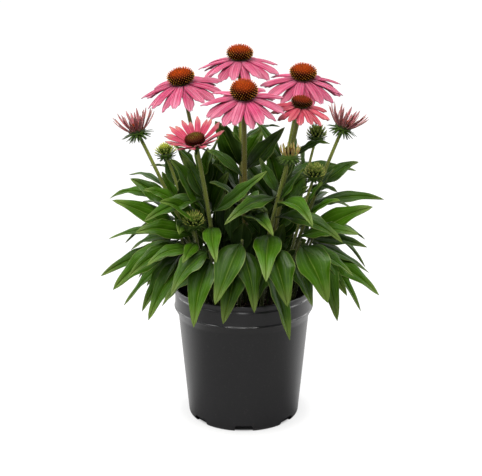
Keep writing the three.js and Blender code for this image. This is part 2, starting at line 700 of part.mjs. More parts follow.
const holes = [];
for (const { name, kind, base, head, lean, radius, tilt, leaves } of STEMS) {
  const axis = stemAxis(base, head, lean);
  const frame = headFrame({ head, tilt });
  const style = HEADS[kind];
  const green = [
    stemSolid(axis, radius),
    ...leafSolids(leaves, axis, head[2] - SOIL.top),
    ...receptacleSolids(style, frame, radius[1]),
  ];
  addNode(`${name}_stem`, fuse(green), "green");
  if (style.rays) addNode(`${name}_rays`, raysSolid(style, frame), RAY_COLOUR[kind]);
  addNode(`${name}_cone`, coneSolid(style, frame), GREEN_CONES.includes(kind) ? "bud" : "orange");
  holes.push(holeSolid(axis, radius));
}
for (const { name, base, top, leaves } of SHOOTS) {
  const axis = stemAxis(base, top, SHOOT_LEAN);
  const green = [stemSolid(axis, SHOOT_RADIUS), ...leafSolids(leaves, axis, top[2] - SOIL.top)];
  addNode(name, fuse(green), "green");
  holes.push(holeSolid(axis, SHOOT_RADIUS));
}
addNode("soil", soilSolid(holes), "soil");
addNode("pot", potSolid(), "pot");

export default plant;
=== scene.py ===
# %% [markdown]
# # A purple coneflower in a nursery pot
# The plant is a clump of bristly stems with arching, lance-shaped leaves. Thirteen heads stand over
# them, from tight green buds to full blooms with drooping pink rays round a spiny orange cone.
# The rigid solids of the same plant come in with the frame. Each cell below dresses some of them:
# it rebuilds the piece on the same sizes, with veins, grooves, spines and a real finish.

import json
import math
import random

import bmesh
import bpy
import numpy as np
from mathutils import Matrix, Vector

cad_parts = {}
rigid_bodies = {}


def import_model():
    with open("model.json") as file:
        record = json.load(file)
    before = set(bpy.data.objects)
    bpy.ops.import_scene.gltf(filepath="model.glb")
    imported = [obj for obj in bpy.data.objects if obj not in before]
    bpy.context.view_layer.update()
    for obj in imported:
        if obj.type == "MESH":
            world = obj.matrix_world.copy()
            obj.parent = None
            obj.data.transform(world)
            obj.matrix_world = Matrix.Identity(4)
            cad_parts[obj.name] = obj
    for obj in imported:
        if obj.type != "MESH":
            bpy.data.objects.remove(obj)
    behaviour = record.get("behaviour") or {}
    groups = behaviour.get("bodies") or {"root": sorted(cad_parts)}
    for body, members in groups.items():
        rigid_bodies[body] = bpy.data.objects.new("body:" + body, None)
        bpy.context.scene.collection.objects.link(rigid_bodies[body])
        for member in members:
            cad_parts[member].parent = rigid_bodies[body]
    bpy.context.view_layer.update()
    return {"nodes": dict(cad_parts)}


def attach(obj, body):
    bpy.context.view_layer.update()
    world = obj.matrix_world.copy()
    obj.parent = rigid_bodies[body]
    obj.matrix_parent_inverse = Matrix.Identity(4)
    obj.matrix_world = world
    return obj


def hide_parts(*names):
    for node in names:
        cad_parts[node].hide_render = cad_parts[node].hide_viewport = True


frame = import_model()
print("nodes loaded:", len(frame["nodes"]))

# %% [markdown]
# ## Collecting a piece
# A plant is many thin closed skins: blades, tubes and domes. Each maker below returns one skin as
# points in millimetres, faces, a texture coordinate for each point and the number of its finish.
# `grow` joins skins into one mesh in metres. Numpy does the sums, so that the script stays quick.
# Leaving each blade an object and joining them at the end would take minutes instead.

# %% Skins and the piece that they make
MM = 0.001
UP = np.array([0.0, 0.0, 1.0])
FULL_TURN = 2 * math.pi


def skin(points, faces, uv, finish=0, back=None, **values):
    """One closed skin. back is the finish of the faces in the second half, if it differs."""
    count = len(points)
    half = len(faces) if back is None else len(faces) // 2
    finishes = [finish] * half + [back] * (len(faces) - half)
    marks = {name: np.full(count, value) if np.isscalar(value) else value
             for name, value in values.items()}
    return {"points": points, "faces": faces, "uv": uv, "finishes": finishes, "marks": marks}


def shown(name, data):
    """A new object with this data, in the scene."""
    made = bpy.data.objects.new(name, data)
    bpy.context.scene.collection.objects.link(made)
    return made


def grow(name, skins, materials, sharp=50):
    """Joins skins into one object whose mesh is in metres, in its own place."""
    points = np.concatenate([s["points"] for s in skins]) * MM
    uv = np.concatenate([s["uv"] for s in skins])
    finishes = [finish for s in skins for finish in s["finishes"]]
    faces = []
    start = 0
    for s in skins:
        faces.extend([tuple(start + i for i in face) for face in s["faces"]])
        start += len(s["points"])
    mesh = bpy.data.meshes.new(name)
    mesh.from_pydata(points.tolist(), [], faces)
    corners = np.empty(len(mesh.loops), int)
    mesh.loops.foreach_get("vertex_index", corners)
    layer = mesh.uv_layers.new(name="grain")
    layer.uv.foreach_set("vector", uv[corners].astype(np.float32).ravel())
    for mark_name in skins[0]["marks"]:
        values = np.concatenate([s["marks"][mark_name] for s in skins]).astype(np.float32)
        mesh.attributes.new(mark_name, "FLOAT", "POINT").data.foreach_set("value", values)
    for material in materials:
        mesh.materials.append(material)
    mesh.polygons.foreach_set("material_index", finishes)
    mesh.shade_smooth()
    mesh.set_sharp_from_angle(angle=math.radians(sharp))
    return shown(name, mesh)


def settle(piece, node):
    """The piece stands for its CAD node, which is hidden, and moves with the plant."""
    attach(piece, "root")
    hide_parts(node)


print("a skin holds:", ", ".join(skin(np.zeros((1, 3)), [], np.zeros((1, 2)))))


# %% Blades: the skins of leaves, rays and bracts
def blade(top, normals, thick, uv, finish=0, back=None, **values):
    """A thin closed sheet from a grid of points [along, across, xyz], thick below its top."""
    rows, columns = top.shape[:2]
    below = top - normals * thick
    points = np.concatenate([top.reshape(-1, 3), below.reshape(-1, 3)])
    under = rows * columns
    grid = np.arange(under).reshape(rows, columns).tolist()
    upper = []
    lower = []
    for near, far in zip(grid, grid[1:]):
        for j in range(columns - 1):
            quad = (near[j], far[j], far[j + 1], near[j + 1])
            upper.append(quad)
            lower.append(tuple(under + i for i in reversed(quad)))
    rim = []
    for near, far in zip(grid, grid[1:]):
        a, b = near[0], far[0]
        rim.append((a, under + a, under + b, b))
        a, b = near[-1], far[-1]
        rim.append((a, b, under + b, under + a))
    for j in range(columns - 1):
        a, b = grid[0][j], grid[0][j + 1]
        rim.append((a, b, under + b, under + a))
        a, b = grid[-1][j], grid[-1][j + 1]
        rim.append((a, under + a, under + b, b))
    coords = np.concatenate([uv.reshape(-1, 2)] * 2)
    return skin(points, upper + rim + lower, coords, finish, back, **values)


example = np.zeros((3, 3, 3))
sheet = blade(example, example, 1, example[..., :2])
print("faces of a blade of 3 by 3 points:", len(sheet["faces"]))

# %% Round skins: stems, rings, domes and cups
RIB_SWELL = 0.035  # how far a stem's ribs stand out, as a share of its radius
GRAIN_LENGTH = 100  # millimetres of stem for one unit of its map


def circle_of(sides):
    """Points on a circle of radius 1, level with the ground."""
    turn = np.linspace(0, FULL_TURN, sides, endpoint=False)
    return np.stack([np.cos(turn), np.sin(turn), 0 * turn], 1)


def ring_faces(rings, sides, looped=False):
    """Quads between rings of points, and from the last ring to the first if looped."""
    faces = []
    for k in range(rings if looped else rings - 1):
        low = k * sides
        high = (k + 1) % rings * sides
        for i in range(sides):
            j = (i + 1) % sides
            faces.append((low + i, low + j, high + j, high + i))
    return faces


def fan_faces(first, sides, point):
    """Triangles from a ring of points, which starts at first, to one point."""
    return [(first + i, first + (i + 1) % sides, point) for i in range(sides)]


def tube(centres, alongs, radii, sides, ribs, **looks):
    """A closed round skin along a path, with shallow ribs up its length."""
    turn = np.linspace(0, FULL_TURN, sides, endpoint=False)
    swell = 1 + RIB_SWELL * np.cos(ribs * turn)
    rings = []
    uv = []
    run = 0.0
    for k, (centre, along) in enumerate(zip(centres, alongs)):
        side = np.cross([0, 1, 0], along)
        side /= np.linalg.norm(side)
        other = np.cross(along, side)
        round_it = np.outer(np.cos(turn) * swell, side) + np.outer(np.sin(turn) * swell, other)
        rings.append(centre + round_it * radii[k])
        run += np.linalg.norm(centre - centres[k - 1]) if k else 0.0
        uv.append(np.stack([turn / FULL_TURN, np.full(sides, run / GRAIN_LENGTH)], 1))
    last = (len(centres) - 1) * sides
    faces = ring_faces(len(centres), sides)
    faces.append(tuple(reversed(range(sides))))
    faces.append(tuple(range(last, last + sides)))
    return skin(np.concatenate(rings), faces, np.concatenate(uv), **looks)


print("faces between 3 rings of 8 points:", len(ring_faces(3, 8)))

# %% [markdown]
# ## Effects that the finishes share
# Growth is never one flat colour. Three small shader groups give the change over a surface, and
# each material places them with its own values: a soft mottle, streaks along a blade or stem, and
# a fine relief. A group puts out only a value or a normal, so the shader and its plain numbers
# stay in the material, where the exporter can read them.

# %% A short way to place nodes
def place(tree, kind, inputs=None, **settings):
    """Adds a node, sets it up and fills its inputs with sockets or plain values."""
    made = tree.nodes.new(kind)
    for name, value in settings.items():
        setattr(made, name, value)
    for name, value in (inputs or {}).items():
        if isinstance(value, bpy.types.NodeSocket):
            tree.links.new(value, made.inputs[name])
        else:
            made.inputs[name].default_value = value
    return made


def sums(tree, operation, *values):
    """A Math node's result."""
    made = place(tree, "ShaderNodeMath", dict(enumerate(values)), operation=operation)
    return made.outputs[0]


def times(tree, a, b):
    return sums(tree, "MULTIPLY", a, b)


def plus(tree, a, b):
    return sums(tree, "ADD", a, b)


def minus(tree, a, b):
    return sums(tree, "SUBTRACT", a, b)


def inverse(tree, mask):
    """1 where the mask is 0, and 0 where it is 1."""
    return minus(tree, 1.0, mask)


def group(name, kind, inputs, outputs):
    """An empty node group with named sockets, and its input and output nodes."""
    tree = bpy.data.node_groups.new(name, kind)
    for label, (socket, value) in inputs.items():
        made = tree.interface.new_socket(label, in_out="INPUT", socket_type=socket)
        if value is not None:
            made.default_value = value
    for label, socket in outputs.items():
        tree.interface.new_socket(label, in_out="OUTPUT", socket_type=socket)
    start = tree.nodes.new("NodeGroupInput").outputs
    end = tree.nodes.new("NodeGroupOutput").inputs
    return tree, start, end


print("helpers ready:", ", ".join(f.__name__ for f in (place, sums, group)))


# %% What a finish can read from its piece
def vectors(tree, operation, *values):
    """A Vector Math node's outputs."""
    made = place(tree, "ShaderNodeVectorMath", dict(enumerate(values)), operation=operation)
    return made.outputs


def parts_of(tree, vector):
    """A vector's X, Y and Z."""
    return place(tree, "ShaderNodeSeparateXYZ", {"Vector": vector}).outputs


def spot_of(tree):
    """Object coordinates. Every piece's origin is the world's, so they are metres from it."""
    return place(tree, "ShaderNodeTexCoord").outputs["Object"]


def level_of(tree):
    """The height above the floor, in metres."""
    return parts_of(tree, spot_of(tree))["Z"]


def own_map(tree):
    """The blade's own map: across from 0 to 1, along from root to tip."""
    grain = place(tree, "ShaderNodeUVMap", uv_map="grain")
    parts = parts_of(tree, grain.outputs["UV"])
    return parts["X"], parts["Y"]


def mark(tree, name):
    """A value that the piece's own mesh carries."""
    return place(tree, "ShaderNodeAttribute", attribute_name=name).outputs["Fac"]


print("the marks that a mesh may carry: tone, flush, rise, tipward")


# %% The mottle, the streaks and the relief
def contrasted(tree, value, contrast):
    """The value pushed away from its middle and kept between 0 and 1."""
    spread = times(tree, minus(tree, value, 0.5), contrast)
    return place(tree, "ShaderNodeClamp", {"Value": plus(tree, spread, 0.5)}).outputs[0]


def make_mottle():
    """Soft patches between 0 and 1 on any coordinates."""
    tree, start, end = group(
        "soft mottle", "ShaderNodeTree",
        {"Vector": ("NodeSocketVector", None), "Scale": ("NodeSocketFloat", 60.0),
         "Contrast": ("NodeSocketFloat", 1.0)},
        {"Value": "NodeSocketFloat"},
    )
    noise = place(tree, "ShaderNodeTexNoise",
                  {"Vector": start["Vector"], "Scale": start["Scale"], "Detail": 3.0})
    tree.links.new(contrasted(tree, noise.outputs["Fac"], start["Contrast"]), end["Value"])
    return tree


def make_streaks():
    """Long fine streaks: noise on the blade's own map, squeezed across and stretched along."""
    tree, start, end = group(
        "length streaks", "ShaderNodeTree",
        {"Across": ("NodeSocketFloat", 30.0), "Along": ("NodeSocketFloat", 1.5),
         "Contrast": ("NodeSocketFloat", 2.0)},
        {"Value": "NodeSocketFloat"},
    )
    blade_apart = 37.0  # tone moves the noise, so that no two blades share their streaks
    across, along = own_map(tree)
    squeezed = place(tree, "ShaderNodeCombineXYZ", {
        "X": times(tree, across, start["Across"]),
        "Y": times(tree, along, start["Along"]),
        "Z": times(tree, mark(tree, "tone"), blade_apart),
    })
    noise = place(tree, "ShaderNodeTexNoise",
                  {"Vector": squeezed.outputs[0], "Scale": 1.0, "Detail": 3.0})
    tree.links.new(contrasted(tree, noise.outputs["Fac"], start["Contrast"]), end["Value"])
    return tree


def make_relief():
    """Fine bumps on Object coordinates, laid over a height that the material hands in."""
    tree, start, end = group(
        "fine relief", "ShaderNodeTree",
        {"Scale": ("NodeSocketFloat", 900.0), "Share": ("NodeSocketFloat", 0.3),
         "Height": ("NodeSocketFloat", 0.0), "Depth": ("NodeSocketFloat", 0.0004)},
        {"Normal": "NodeSocketVector"},
    )
    noise = place(tree, "ShaderNodeTexNoise",
                  {"Vector": spot_of(tree), "Scale": start["Scale"], "Detail": 2.0})
    grit = times(tree, noise.outputs["Fac"], start["Share"])
    bump = place(tree, "ShaderNodeBump", {
        "Height": plus(tree, grit, start["Height"]), "Distance": start["Depth"], "Strength": 1.0})
    tree.links.new(bump.outputs[0], end["Normal"])
    return tree


MOTTLE = make_mottle()
STREAKS = make_streaks()
RELIEF = make_relief()
print("shader groups:", MOTTLE.name, "/", STREAKS.name, "/", RELIEF.name)

# %% [markdown]
# ## Colours and masks
# A colour is easiest to judge as a web code, but the shader wants light, not screen, values. `tint`
# turns one into the other. `blend_of` mixes two colours by a mask, `laid_over` lays one over the
# body, and `steps_of` is a ramp. A mask is a value from 0 to 1 that says where a colour goes.

# %% Colour helpers
def tint(code):
    """A web colour such as "#3f6a22" as linear red, green, blue and alpha."""
    channels = [int(code[i:i + 2], 16) / 255 for i in (1, 3, 5)]
    linear = [c / 12.92 if c <= 0.04045 else ((c + 0.055) / 1.055) ** 2.4 for c in channels]
    return (*linear, 1.0)


def blend_of(tree, mask, low, high):
    """Mixes two colours by a mask and returns the result's socket."""
    mix = place(tree, "ShaderNodeMix", {0: mask}, data_type="RGBA")
    for socket, value in ((mix.inputs[6], low), (mix.inputs[7], high)):
        if isinstance(value, bpy.types.NodeSocket):
            tree.links.new(value, socket)
        else:
            socket.default_value = value
    return mix.outputs[2]


def laid_over(tree, body, code, mask, share):
    """Lays a web colour over the body where the mask is, as strongly as share says."""
    return blend_of(tree, times(tree, mask, share), body, tint(code))


def steps_of(tree, value, stops):
    """A colour ramp; stops are (place, web colour)."""
    ramp = place(tree, "ShaderNodeValToRGB", {"Fac": value})
    elements = ramp.color_ramp.elements
    elements[0].position, elements[0].color = stops[0][0], tint(stops[0][1])
    elements[1].position, elements[1].color = stops[-1][0], tint(stops[-1][1])
    for position, code in stops[1:-1]:
        elements.new(position).color = tint(code)
    return ramp.outputs["Color"]


print("example: leaf green is", tuple(round(c, 3) for c in tint("#3f6a22")))


# %% Masks
def smooth_mask(tree, value, start, stop):
    """0 below start, 1 above stop, smooth between."""
    made = place(tree, "ShaderNodeMapRange",
                 {"Value": value, "From Min": start, "From Max": stop},
                 interpolation_type="SMOOTHSTEP")
    return made.outputs[0]


def edge_mask(tree, across, start):
    """1 at both edges of a blade, fading to 0 at start, measured from its middle."""
    off = sums(tree, "ABSOLUTE", minus(tree, across, 0.5))
    return smooth_mask(tree, off, start, 0.5)


print("masks ready:", smooth_mask.__name__, "/", edge_mask.__name__)


# %% A finish and its effects
def new_finish(name, roughness, sheen=0.0, coat=0.0, specular=0.5):
    """A material with its shader, and the shader's tree. Plain numbers stay on the shader."""
    material = bpy.data.materials.new(name)
    material.use_nodes = True
    tree = material.node_tree
    shader = tree.nodes["Principled BSDF"]
    values = {"Roughness": roughness, "Sheen Weight": sheen, "Coat Weight": coat,
              "Specular IOR Level": specular}
    for label, value in values.items():
        shader.inputs[label].default_value = value
    return material, tree, shader


def mottled(tree, scale, contrast):
    """The mottle group on Object coordinates."""
    values = {"Vector": spot_of(tree), "Scale": scale, "Contrast": contrast}
    return place(tree, "ShaderNodeGroup", values, node_tree=MOTTLE).outputs["Value"]


def streaked(tree, across, along, contrast):
    """The streaks group with its own values."""
    values = {"Across": across, "Along": along, "Contrast": contrast}
    return place(tree, "ShaderNodeGroup", values, node_tree=STREAKS).outputs["Value"]


def roughened(tree, shader, scale, share, depth, height=0.0):
    """The relief group on the shader's normal. depth is in metres."""
    values = {"Scale": scale, "Share": share, "Depth": depth, "Height": height}
    made = place(tree, "ShaderNodeGroup", values, node_tree=RELIEF)
    tree.links.new(made.outputs["Normal"], shader.inputs["Normal"])


print("effects ready:", ", ".join(f.__name__ for f in (mottled, streaked, roughened)))

# %% [markdown]
# ## The finishes
# Leaf: satin green, with a sunken midrib, paler veins that run with the blade and a thin yellow
# edge. The map across a blade keeps the same value along a vein, so a vein is a narrow band of
# that map, and it draws together at the root and the tip as real ones do. A leaf's colour is
# darkened near its root, as painted shade where it lies under the others, and darkened all over
# deep inside the clump, as painted shade there too.

# %% Masks for the leaves
VEINS = (0.5, 0.31, 0.69, 0.17, 0.83)  # places across the blade, the midrib first
MIDRIB_WIDER = 1.5
SIDE_VEIN_WIDER = 0.8
SIDE_VEIN_STRENGTH = 0.35
# Where shade is painted deep in the clump: how far it reaches from the axis, and how high.
CLUMP_CORE = (0.035, 0.085)  # metres from the plant's axis
CLUMP_TOP = (0.26, 0.34)  # metres above the floor


def painted_clump_shade_mask(tree):
    """1 deep in the clump, where shade is painted into the leaves' colour, and 0 outside it."""
    flat = vectors(tree, "MULTIPLY", spot_of(tree), (1, 1, 0))[0]
    outer = smooth_mask(tree, vectors(tree, "LENGTH", flat)["Value"], *CLUMP_CORE)
    above = smooth_mask(tree, level_of(tree), *CLUMP_TOP)
    return times(tree, inverse(tree, outer), inverse(tree, above))


def vein_mask(tree, across, width):
    """1 on the veins, fading to 0 at width beside them. The midrib is the widest."""
    found = None
    for where in VEINS:
        midrib = where == VEINS[0]
        off = sums(tree, "ABSOLUTE", minus(tree, across, where))
        near = sums(tree, "DIVIDE", off, width * (MIDRIB_WIDER if midrib else SIDE_VEIN_WIDER))
        line = inverse(tree, sums(tree, "MINIMUM", near, 1.0))
        line = times(tree, line, 1.0 if midrib else SIDE_VEIN_STRENGTH)
        found = line if found is None else sums(tree, "MAXIMUM", found, line)
    return found


print("veins on a leaf:", len(VEINS))

# %% Leaf finishes
# How strongly shade is painted into a leaf's colour near its root and deep in the clump.
PAINTED_ROOT_SHADE = 0.7
PAINTED_CLUMP_SHADE = 0.8
TONE_SHARE = 0.75
PATCH_SHARE = 0.45
STREAK_SHARE = 0.2
GLOSS_DRIFT = 0.16
COLOURED_VEIN = 0.019  # share of the blade's width
SUNKEN_VEIN = 0.05


def make_leaf(name, deep, fresh, vein, edge, roughness):
    """A blade's finish. tone is each leaf's own value, from dull to fresh."""
    material, tree, shader = new_finish(name, roughness, specular=0.2)
    across, along = own_map(tree)
    patches = mottled(tree, scale=55.0, contrast=1.8)
    fine = streaked(tree, across=14.0, along=2.2, contrast=1.5)
    mixed = sums(tree, "MULTIPLY_ADD", patches, PATCH_SHARE, times(tree, fine, STREAK_SHARE))
    freshness = sums(tree, "MULTIPLY_ADD", mark(tree, "tone"), TONE_SHARE, mixed)
    body = blend_of(tree, freshness, tint(deep), tint(fresh))
    tipped = laid_over(tree, body, edge, smooth_mask(tree, along, 0.72, 1.0), share=0.25)
    lined = laid_over(tree, tipped, vein, vein_mask(tree, across, COLOURED_VEIN), share=0.5)
    edged = laid_over(tree, lined, edge, edge_mask(tree, across, 0.47), share=0.4)
    # Painted shade: the colour turns to the deep green near the root and deep in the clump.
    near_root = inverse(tree, smooth_mask(tree, along, 0.05, 0.55))
    shade = sums(tree, "MAXIMUM", times(tree, near_root, PAINTED_ROOT_SHADE),
                 times(tree, painted_clump_shade_mask(tree), PAINTED_CLUMP_SHADE))
    tree.links.new(blend_of(tree, shade, edged, tint(deep)), shader.inputs["Base Color"])
    gloss = sums(tree, "MULTIPLY_ADD", patches, GLOSS_DRIFT, roughness - GLOSS_DRIFT / 2)
    tree.links.new(gloss, shader.inputs["Roughness"])
    quilt = times(tree, streaked(tree, across=7.0, along=10.0, contrast=1.4), 0.6)
    height = minus(tree, quilt, times(tree, vein_mask(tree, across, SUNKEN_VEIN), 0.5))
    roughened(tree, shader, scale=1400.0, share=0.12, depth=0.0009, height=height)
    return material


LEAF_UPPER = make_leaf("leaf, upper side", "#051001", "#3a6203", "#8aa44c", "#acba68", 0.38)
LEAF_UNDER = make_leaf("leaf, underside", "#1a3008", "#4c6c22", "#8aa45c", "#93a83c", 0.55)
print("leaf finishes:", LEAF_UPPER.name, "/", LEAF_UNDER.name)

# %% [markdown]
# Stem: light olive green with a brown flush that differs from stem to stem, streaked along its
# length, and darkened low down, where it stands in the clump, as painted shade. Bract: the small
# green leaves under a head, darker at the tips. The young bracts that close over a bud are
# lighter and end in a pale point.

# %% Stem, bract and hair finishes
# Painted shade on a stem: full below the first height, gone above the second.
STEM_DARK_BELOW = 0.20  # metres
STEM_LIT_ABOVE = 0.31
PAINTED_STEM_SHADE = 0.8


def make_stem():
    material, tree, shader = new_finish("stem skin", 0.5, sheen=0.15)
    fibres = streaked(tree, across=26.0, along=2.0, contrast=2.2)
    green = blend_of(tree, fibres, tint("#34480f"), tint("#a8b448"))
    patches = mottled(tree, scale=25.0, contrast=1.6)
    flushed = laid_over(tree, green, "#70491a", mark(tree, "flush"), share=patches)
    # Painted shade: the stem's colour is darkened low down, inside the clump.
    painted_stem_shade_mask = inverse(tree, smooth_mask(tree, level_of(tree), STEM_DARK_BELOW, STEM_LIT_ABOVE))
    coloured = laid_over(tree, flushed, "#1c280a", painted_stem_shade_mask, PAINTED_STEM_SHADE)
    tree.links.new(coloured, shader.inputs["Base Color"])
    roughened(tree, shader, scale=1100.0, share=0.3, depth=0.0004,
              height=times(tree, fibres, 0.7))
    return material


def make_bract(name, root, middle, tip, streak):
    material, tree, shader = new_finish(name, 0.5, specular=0.3)
    along = own_map(tree)[1]
    body = steps_of(tree, along, [(0.0, root), (0.5, middle), (1.0, tip)])
    fine = streaked(tree, across=12.0, along=2.0, contrast=2.0)
    coloured = laid_over(tree, body, streak, fine, share=0.4)
    tree.links.new(coloured, shader.inputs["Base Color"])
    roughened(tree, shader, scale=1200.0, share=0.25, depth=0.0004)
    return material


def make_hair():
    material, tree, shader = new_finish("stem hair", 0.6, sheen=0.3)
    patches = mottled(tree, scale=90.0, contrast=1.5)
    pale = blend_of(tree, patches, tint("#a9b27c"), tint("#dfe0c0"))
    tree.links.new(pale, shader.inputs["Base Color"])
    return material


STEM_SKIN = make_stem()
BRACT_GREEN = make_bract("bract green", "#3e5a18", "#2c4812", "#141d08", "#687e34")
BRACT_YOUNG = make_bract("young bract", "#3e5816", "#748c32", "#d4c870", "#aabc62")
HAIR_PALE = make_hair()
print("green finishes:", STEM_SKIN.name, "/", BRACT_GREEN.name, "/", HAIR_PALE.name)

# %% [markdown]
# Ray: the long petal of a head. Its colour runs from a deep root to a paler tip, with fine darker
# lines along it. The deep root is partly the ray's own colour and partly painted shade where the
# rays crowd round the cone, and pale streaks along the ray are painted highlights, as on the ridges
# between its grooves. A little light passes into it, which is what Subsurface Weight gives. One
# maker gives every ray colour of the plant, and the back of a ray is duller than its face.

# %% Ray finishes
def make_ray(name, root, middle, tip, line, edge, painted_highlight):
    """A ray's finish: root, middle and tip colours, dark lines, edge and pale streaks of painted
    highlight.
    """
    material, tree, shader = new_finish(name, 0.55, sheen=0.05, specular=0.2)
    shader.inputs["Subsurface Weight"].default_value = 0.35
    shader.inputs["Subsurface Radius"].default_value = (1.0, 0.35, 0.5)
    shader.inputs["Subsurface Scale"].default_value = 0.0015
    across, along = own_map(tree)
    # The deep root: partly the ray's own colour, partly painted shade round the cone.
    body = steps_of(tree, along, [(0.0, root), (0.3, middle), (0.6, middle), (1.0, tip)])
    fine = streaked(tree, across=15.0, along=0.6, contrast=5.5)
    lined = laid_over(tree, body, line, fine, share=0.78)
    # Painted highlights: pale streaks along the ray.
    wide = streaked(tree, across=9.0, along=0.4, contrast=4.5)
    with_painted_highlights = laid_over(tree, lined, painted_highlight, wide, share=0.5)
    varied = laid_over(tree, with_painted_highlights, line, mark(tree, "tone"), share=0.4)
    coloured = laid_over(tree, varied, edge, edge_mask(tree, across, 0.4), share=0.6)
    tree.links.new(coloured, shader.inputs["Base Color"])
    roughened(tree, shader, scale=1500.0, share=0.1, depth=0.0008, height=times(tree, fine, 0.6))
    return material


# Each colour's face and back, with the six colours in the order that make_ray takes. The root
# colour carries painted shade, and the last colour is the painted highlight of the streaks.
RAY_COLOURS = {
    "pink": ("#640828 #ba3666 #e498b0 #861238 #9c2450 #e492ac",
             "#5c0e26 #94284e #a84e70 #6a1030 #7c284a #a04a6a"),
    "salmon": ("#8c0e30 #c43658 #f4c4a8 #9c1c40 #dc7c84 #d0607a",
               "#843044 #ac5062 #c48880 #843044 #b08070 #b8747c"),
    "coral": ("#7c0e26 #bc3a58 #dc8a8c #941a32 #a03848 #d07c7c",
              "#842838 #ac4a56 #b87470 #802438 #96545a #b4686a"),
    "dusky": ("#6c5428 #bc7078 #dca8a4 #903c4a #c09488 #cc9490",
              "#7c5c34 #b87478 #d8aca0 #9c545c #b88c80 #cc9c94"),
    "yellow": ("#4c3c0c #dec65c #fff6bc #8c7024 #8a6a20 #f0de90",
               "#4c400c #e0cc6c #fff8c8 #8c742c #8a7028 #f0e090"),
}
RAY_FINISHES = {}
for colour, codes in RAY_COLOURS.items():
    face, back = (code.split() for code in codes)
    RAY_FINISHES[colour] = (make_ray(colour + " ray, face", *face),
                            make_ray(colour + " ray, back", *back))
print("ray finishes:", ", ".join(RAY_FINISHES))

# %% [markdown]
# Cone: hundreds of stiff spines over a dark dome. Only the spines' tips are bright, so the mesh
# carries two values: `rise`, from the cone's foot to its crown, and `tipward`, from a spine's foot
# to its point. The finish mixes its colours by them: dark between the spines, one colour for the
# tips on the flank, one for those on the crown and one at the very top.

# %% Cone finishes
CROWN_FROM = (0.36, 0.8)  # rise over which the tips turn from the flank's colour to the crown's
POINT_FROM = (0.72, 1.42)  # rise and tipward together, where a spine's colour comes in
HOLLOW_FROM = (0.45, 0.95)
HOLLOW_TINTED = 0.35
FOOT_BELOW = 0.22
RISE_SHARE = 0.8
GRAIN_SHARE = 0.5
GRAIN_LOWERED = -0.18


def make_cone(name, hollow, flank, crown, heart, heart_from=0.93):
    """A cone's finish: between the spines, and the tips on its flank, crown and very top."""
    material, tree, shader = new_finish(name, 0.7, specular=0.06)
    rise = mark(tree, "rise")
    shoulder = blend_of(tree, smooth_mask(tree, rise, *CROWN_FROM), tint(flank), tint(crown))
    tips = blend_of(tree, smooth_mask(tree, rise, heart_from, 1.0), shoulder, tint(heart))
    patches = mottled(tree, scale=260.0, contrast=2.2)
    grain = sums(tree, "MULTIPLY_ADD", patches, GRAIN_SHARE, GRAIN_LOWERED)
    pointed = plus(tree, mark(tree, "tipward"), grain)
    reached = sums(tree, "MULTIPLY_ADD", rise, RISE_SHARE, pointed)
    tinted = blend_of(tree, HOLLOW_TINTED, tint(hollow), tint(crown))
    low = blend_of(tree, smooth_mask(tree, rise, *HOLLOW_FROM), tint(hollow), tinted)
    spined = blend_of(tree, smooth_mask(tree, reached, *POINT_FROM), low, tips)
    foot = inverse(tree, smooth_mask(tree, rise, 0.0, FOOT_BELOW))
    coloured = laid_over(tree, spined, hollow, foot, share=0.8)
    tree.links.new(coloured, shader.inputs["Base Color"])
    roughened(tree, shader, scale=1800.0, share=0.3, depth=0.0003)
    return material


CONE_FINISHES = {
    "orange": make_cone("orange cone", "#1a0300", "#d4962e", "#c24a06", "#9a4408"),
    "red_brown": make_cone("red-brown cone", "#120302", "#8a5c18", "#983408", "#743808"),
    "dark_disc": make_cone("dark disc", "#140402", "#6c1c0c", "#6c3410", "#6c7020", 0.7),
    "bud": make_cone("bud disc", "#2c3a0a", "#94aa34", "#c8cc50", "#d0cc5c"),
    "closed": make_cone("closed bud", "#101c06", "#648028", "#9cb04c", "#b4c05c"),
    "shaded": make_cone("shaded disc", "#140a04", "#4c3010", "#6c5018", "#80702c"),
}
print("cone finishes:", ", ".join(CONE_FINISHES))

# %% [markdown]
# Pot: moulded charcoal plastic with a satin skin under a thin clear shine. It is paler along the
# lip, partly worn there by handling and partly a painted highlight, and water leaves a faint dull
# bloom, so its roughness and colour drift a little. Potting mix: dark peat with paler fibres.

# %% Pot and potting mix finishes
# The lip's paler band: partly wear, partly a painted highlight.
LIP_WEAR_AND_HIGHLIGHT = (0.160, 0.168)  # metres above the floor
POT_GLOSS_DRIFT = 0.1
POT_SMOOTHEST = 0.28


def make_pot_plastic():
    material, tree, shader = new_finish("pot plastic", 0.33, coat=0.9, specular=0.9)
    shader.inputs["Coat Roughness"].default_value = 0.16
    bloom = mottled(tree, scale=14.0, contrast=1.3)
    body = blend_of(tree, bloom, tint("#0a0a10"), tint("#0e0e16"))
    # Paler lip: partly wear from handling, partly a painted highlight.
    lip = smooth_mask(tree, level_of(tree), *LIP_WEAR_AND_HIGHLIGHT)
    worn_and_highlighted = laid_over(tree, body, "#2a2930", lip, share=0.35)
    specks = smooth_mask(tree, mottled(tree, scale=420.0, contrast=3.0), 0.86, 1.0)
    dusty = laid_over(tree, worn_and_highlighted, "#6f6a64", specks, share=0.08)
    tree.links.new(dusty, shader.inputs["Base Color"])
    gloss = sums(tree, "MULTIPLY_ADD", bloom, POT_GLOSS_DRIFT, POT_SMOOTHEST)
    tree.links.new(gloss, shader.inputs["Roughness"])
    roughened(tree, shader, scale=2200.0, share=1.0, depth=0.00005)
    return material


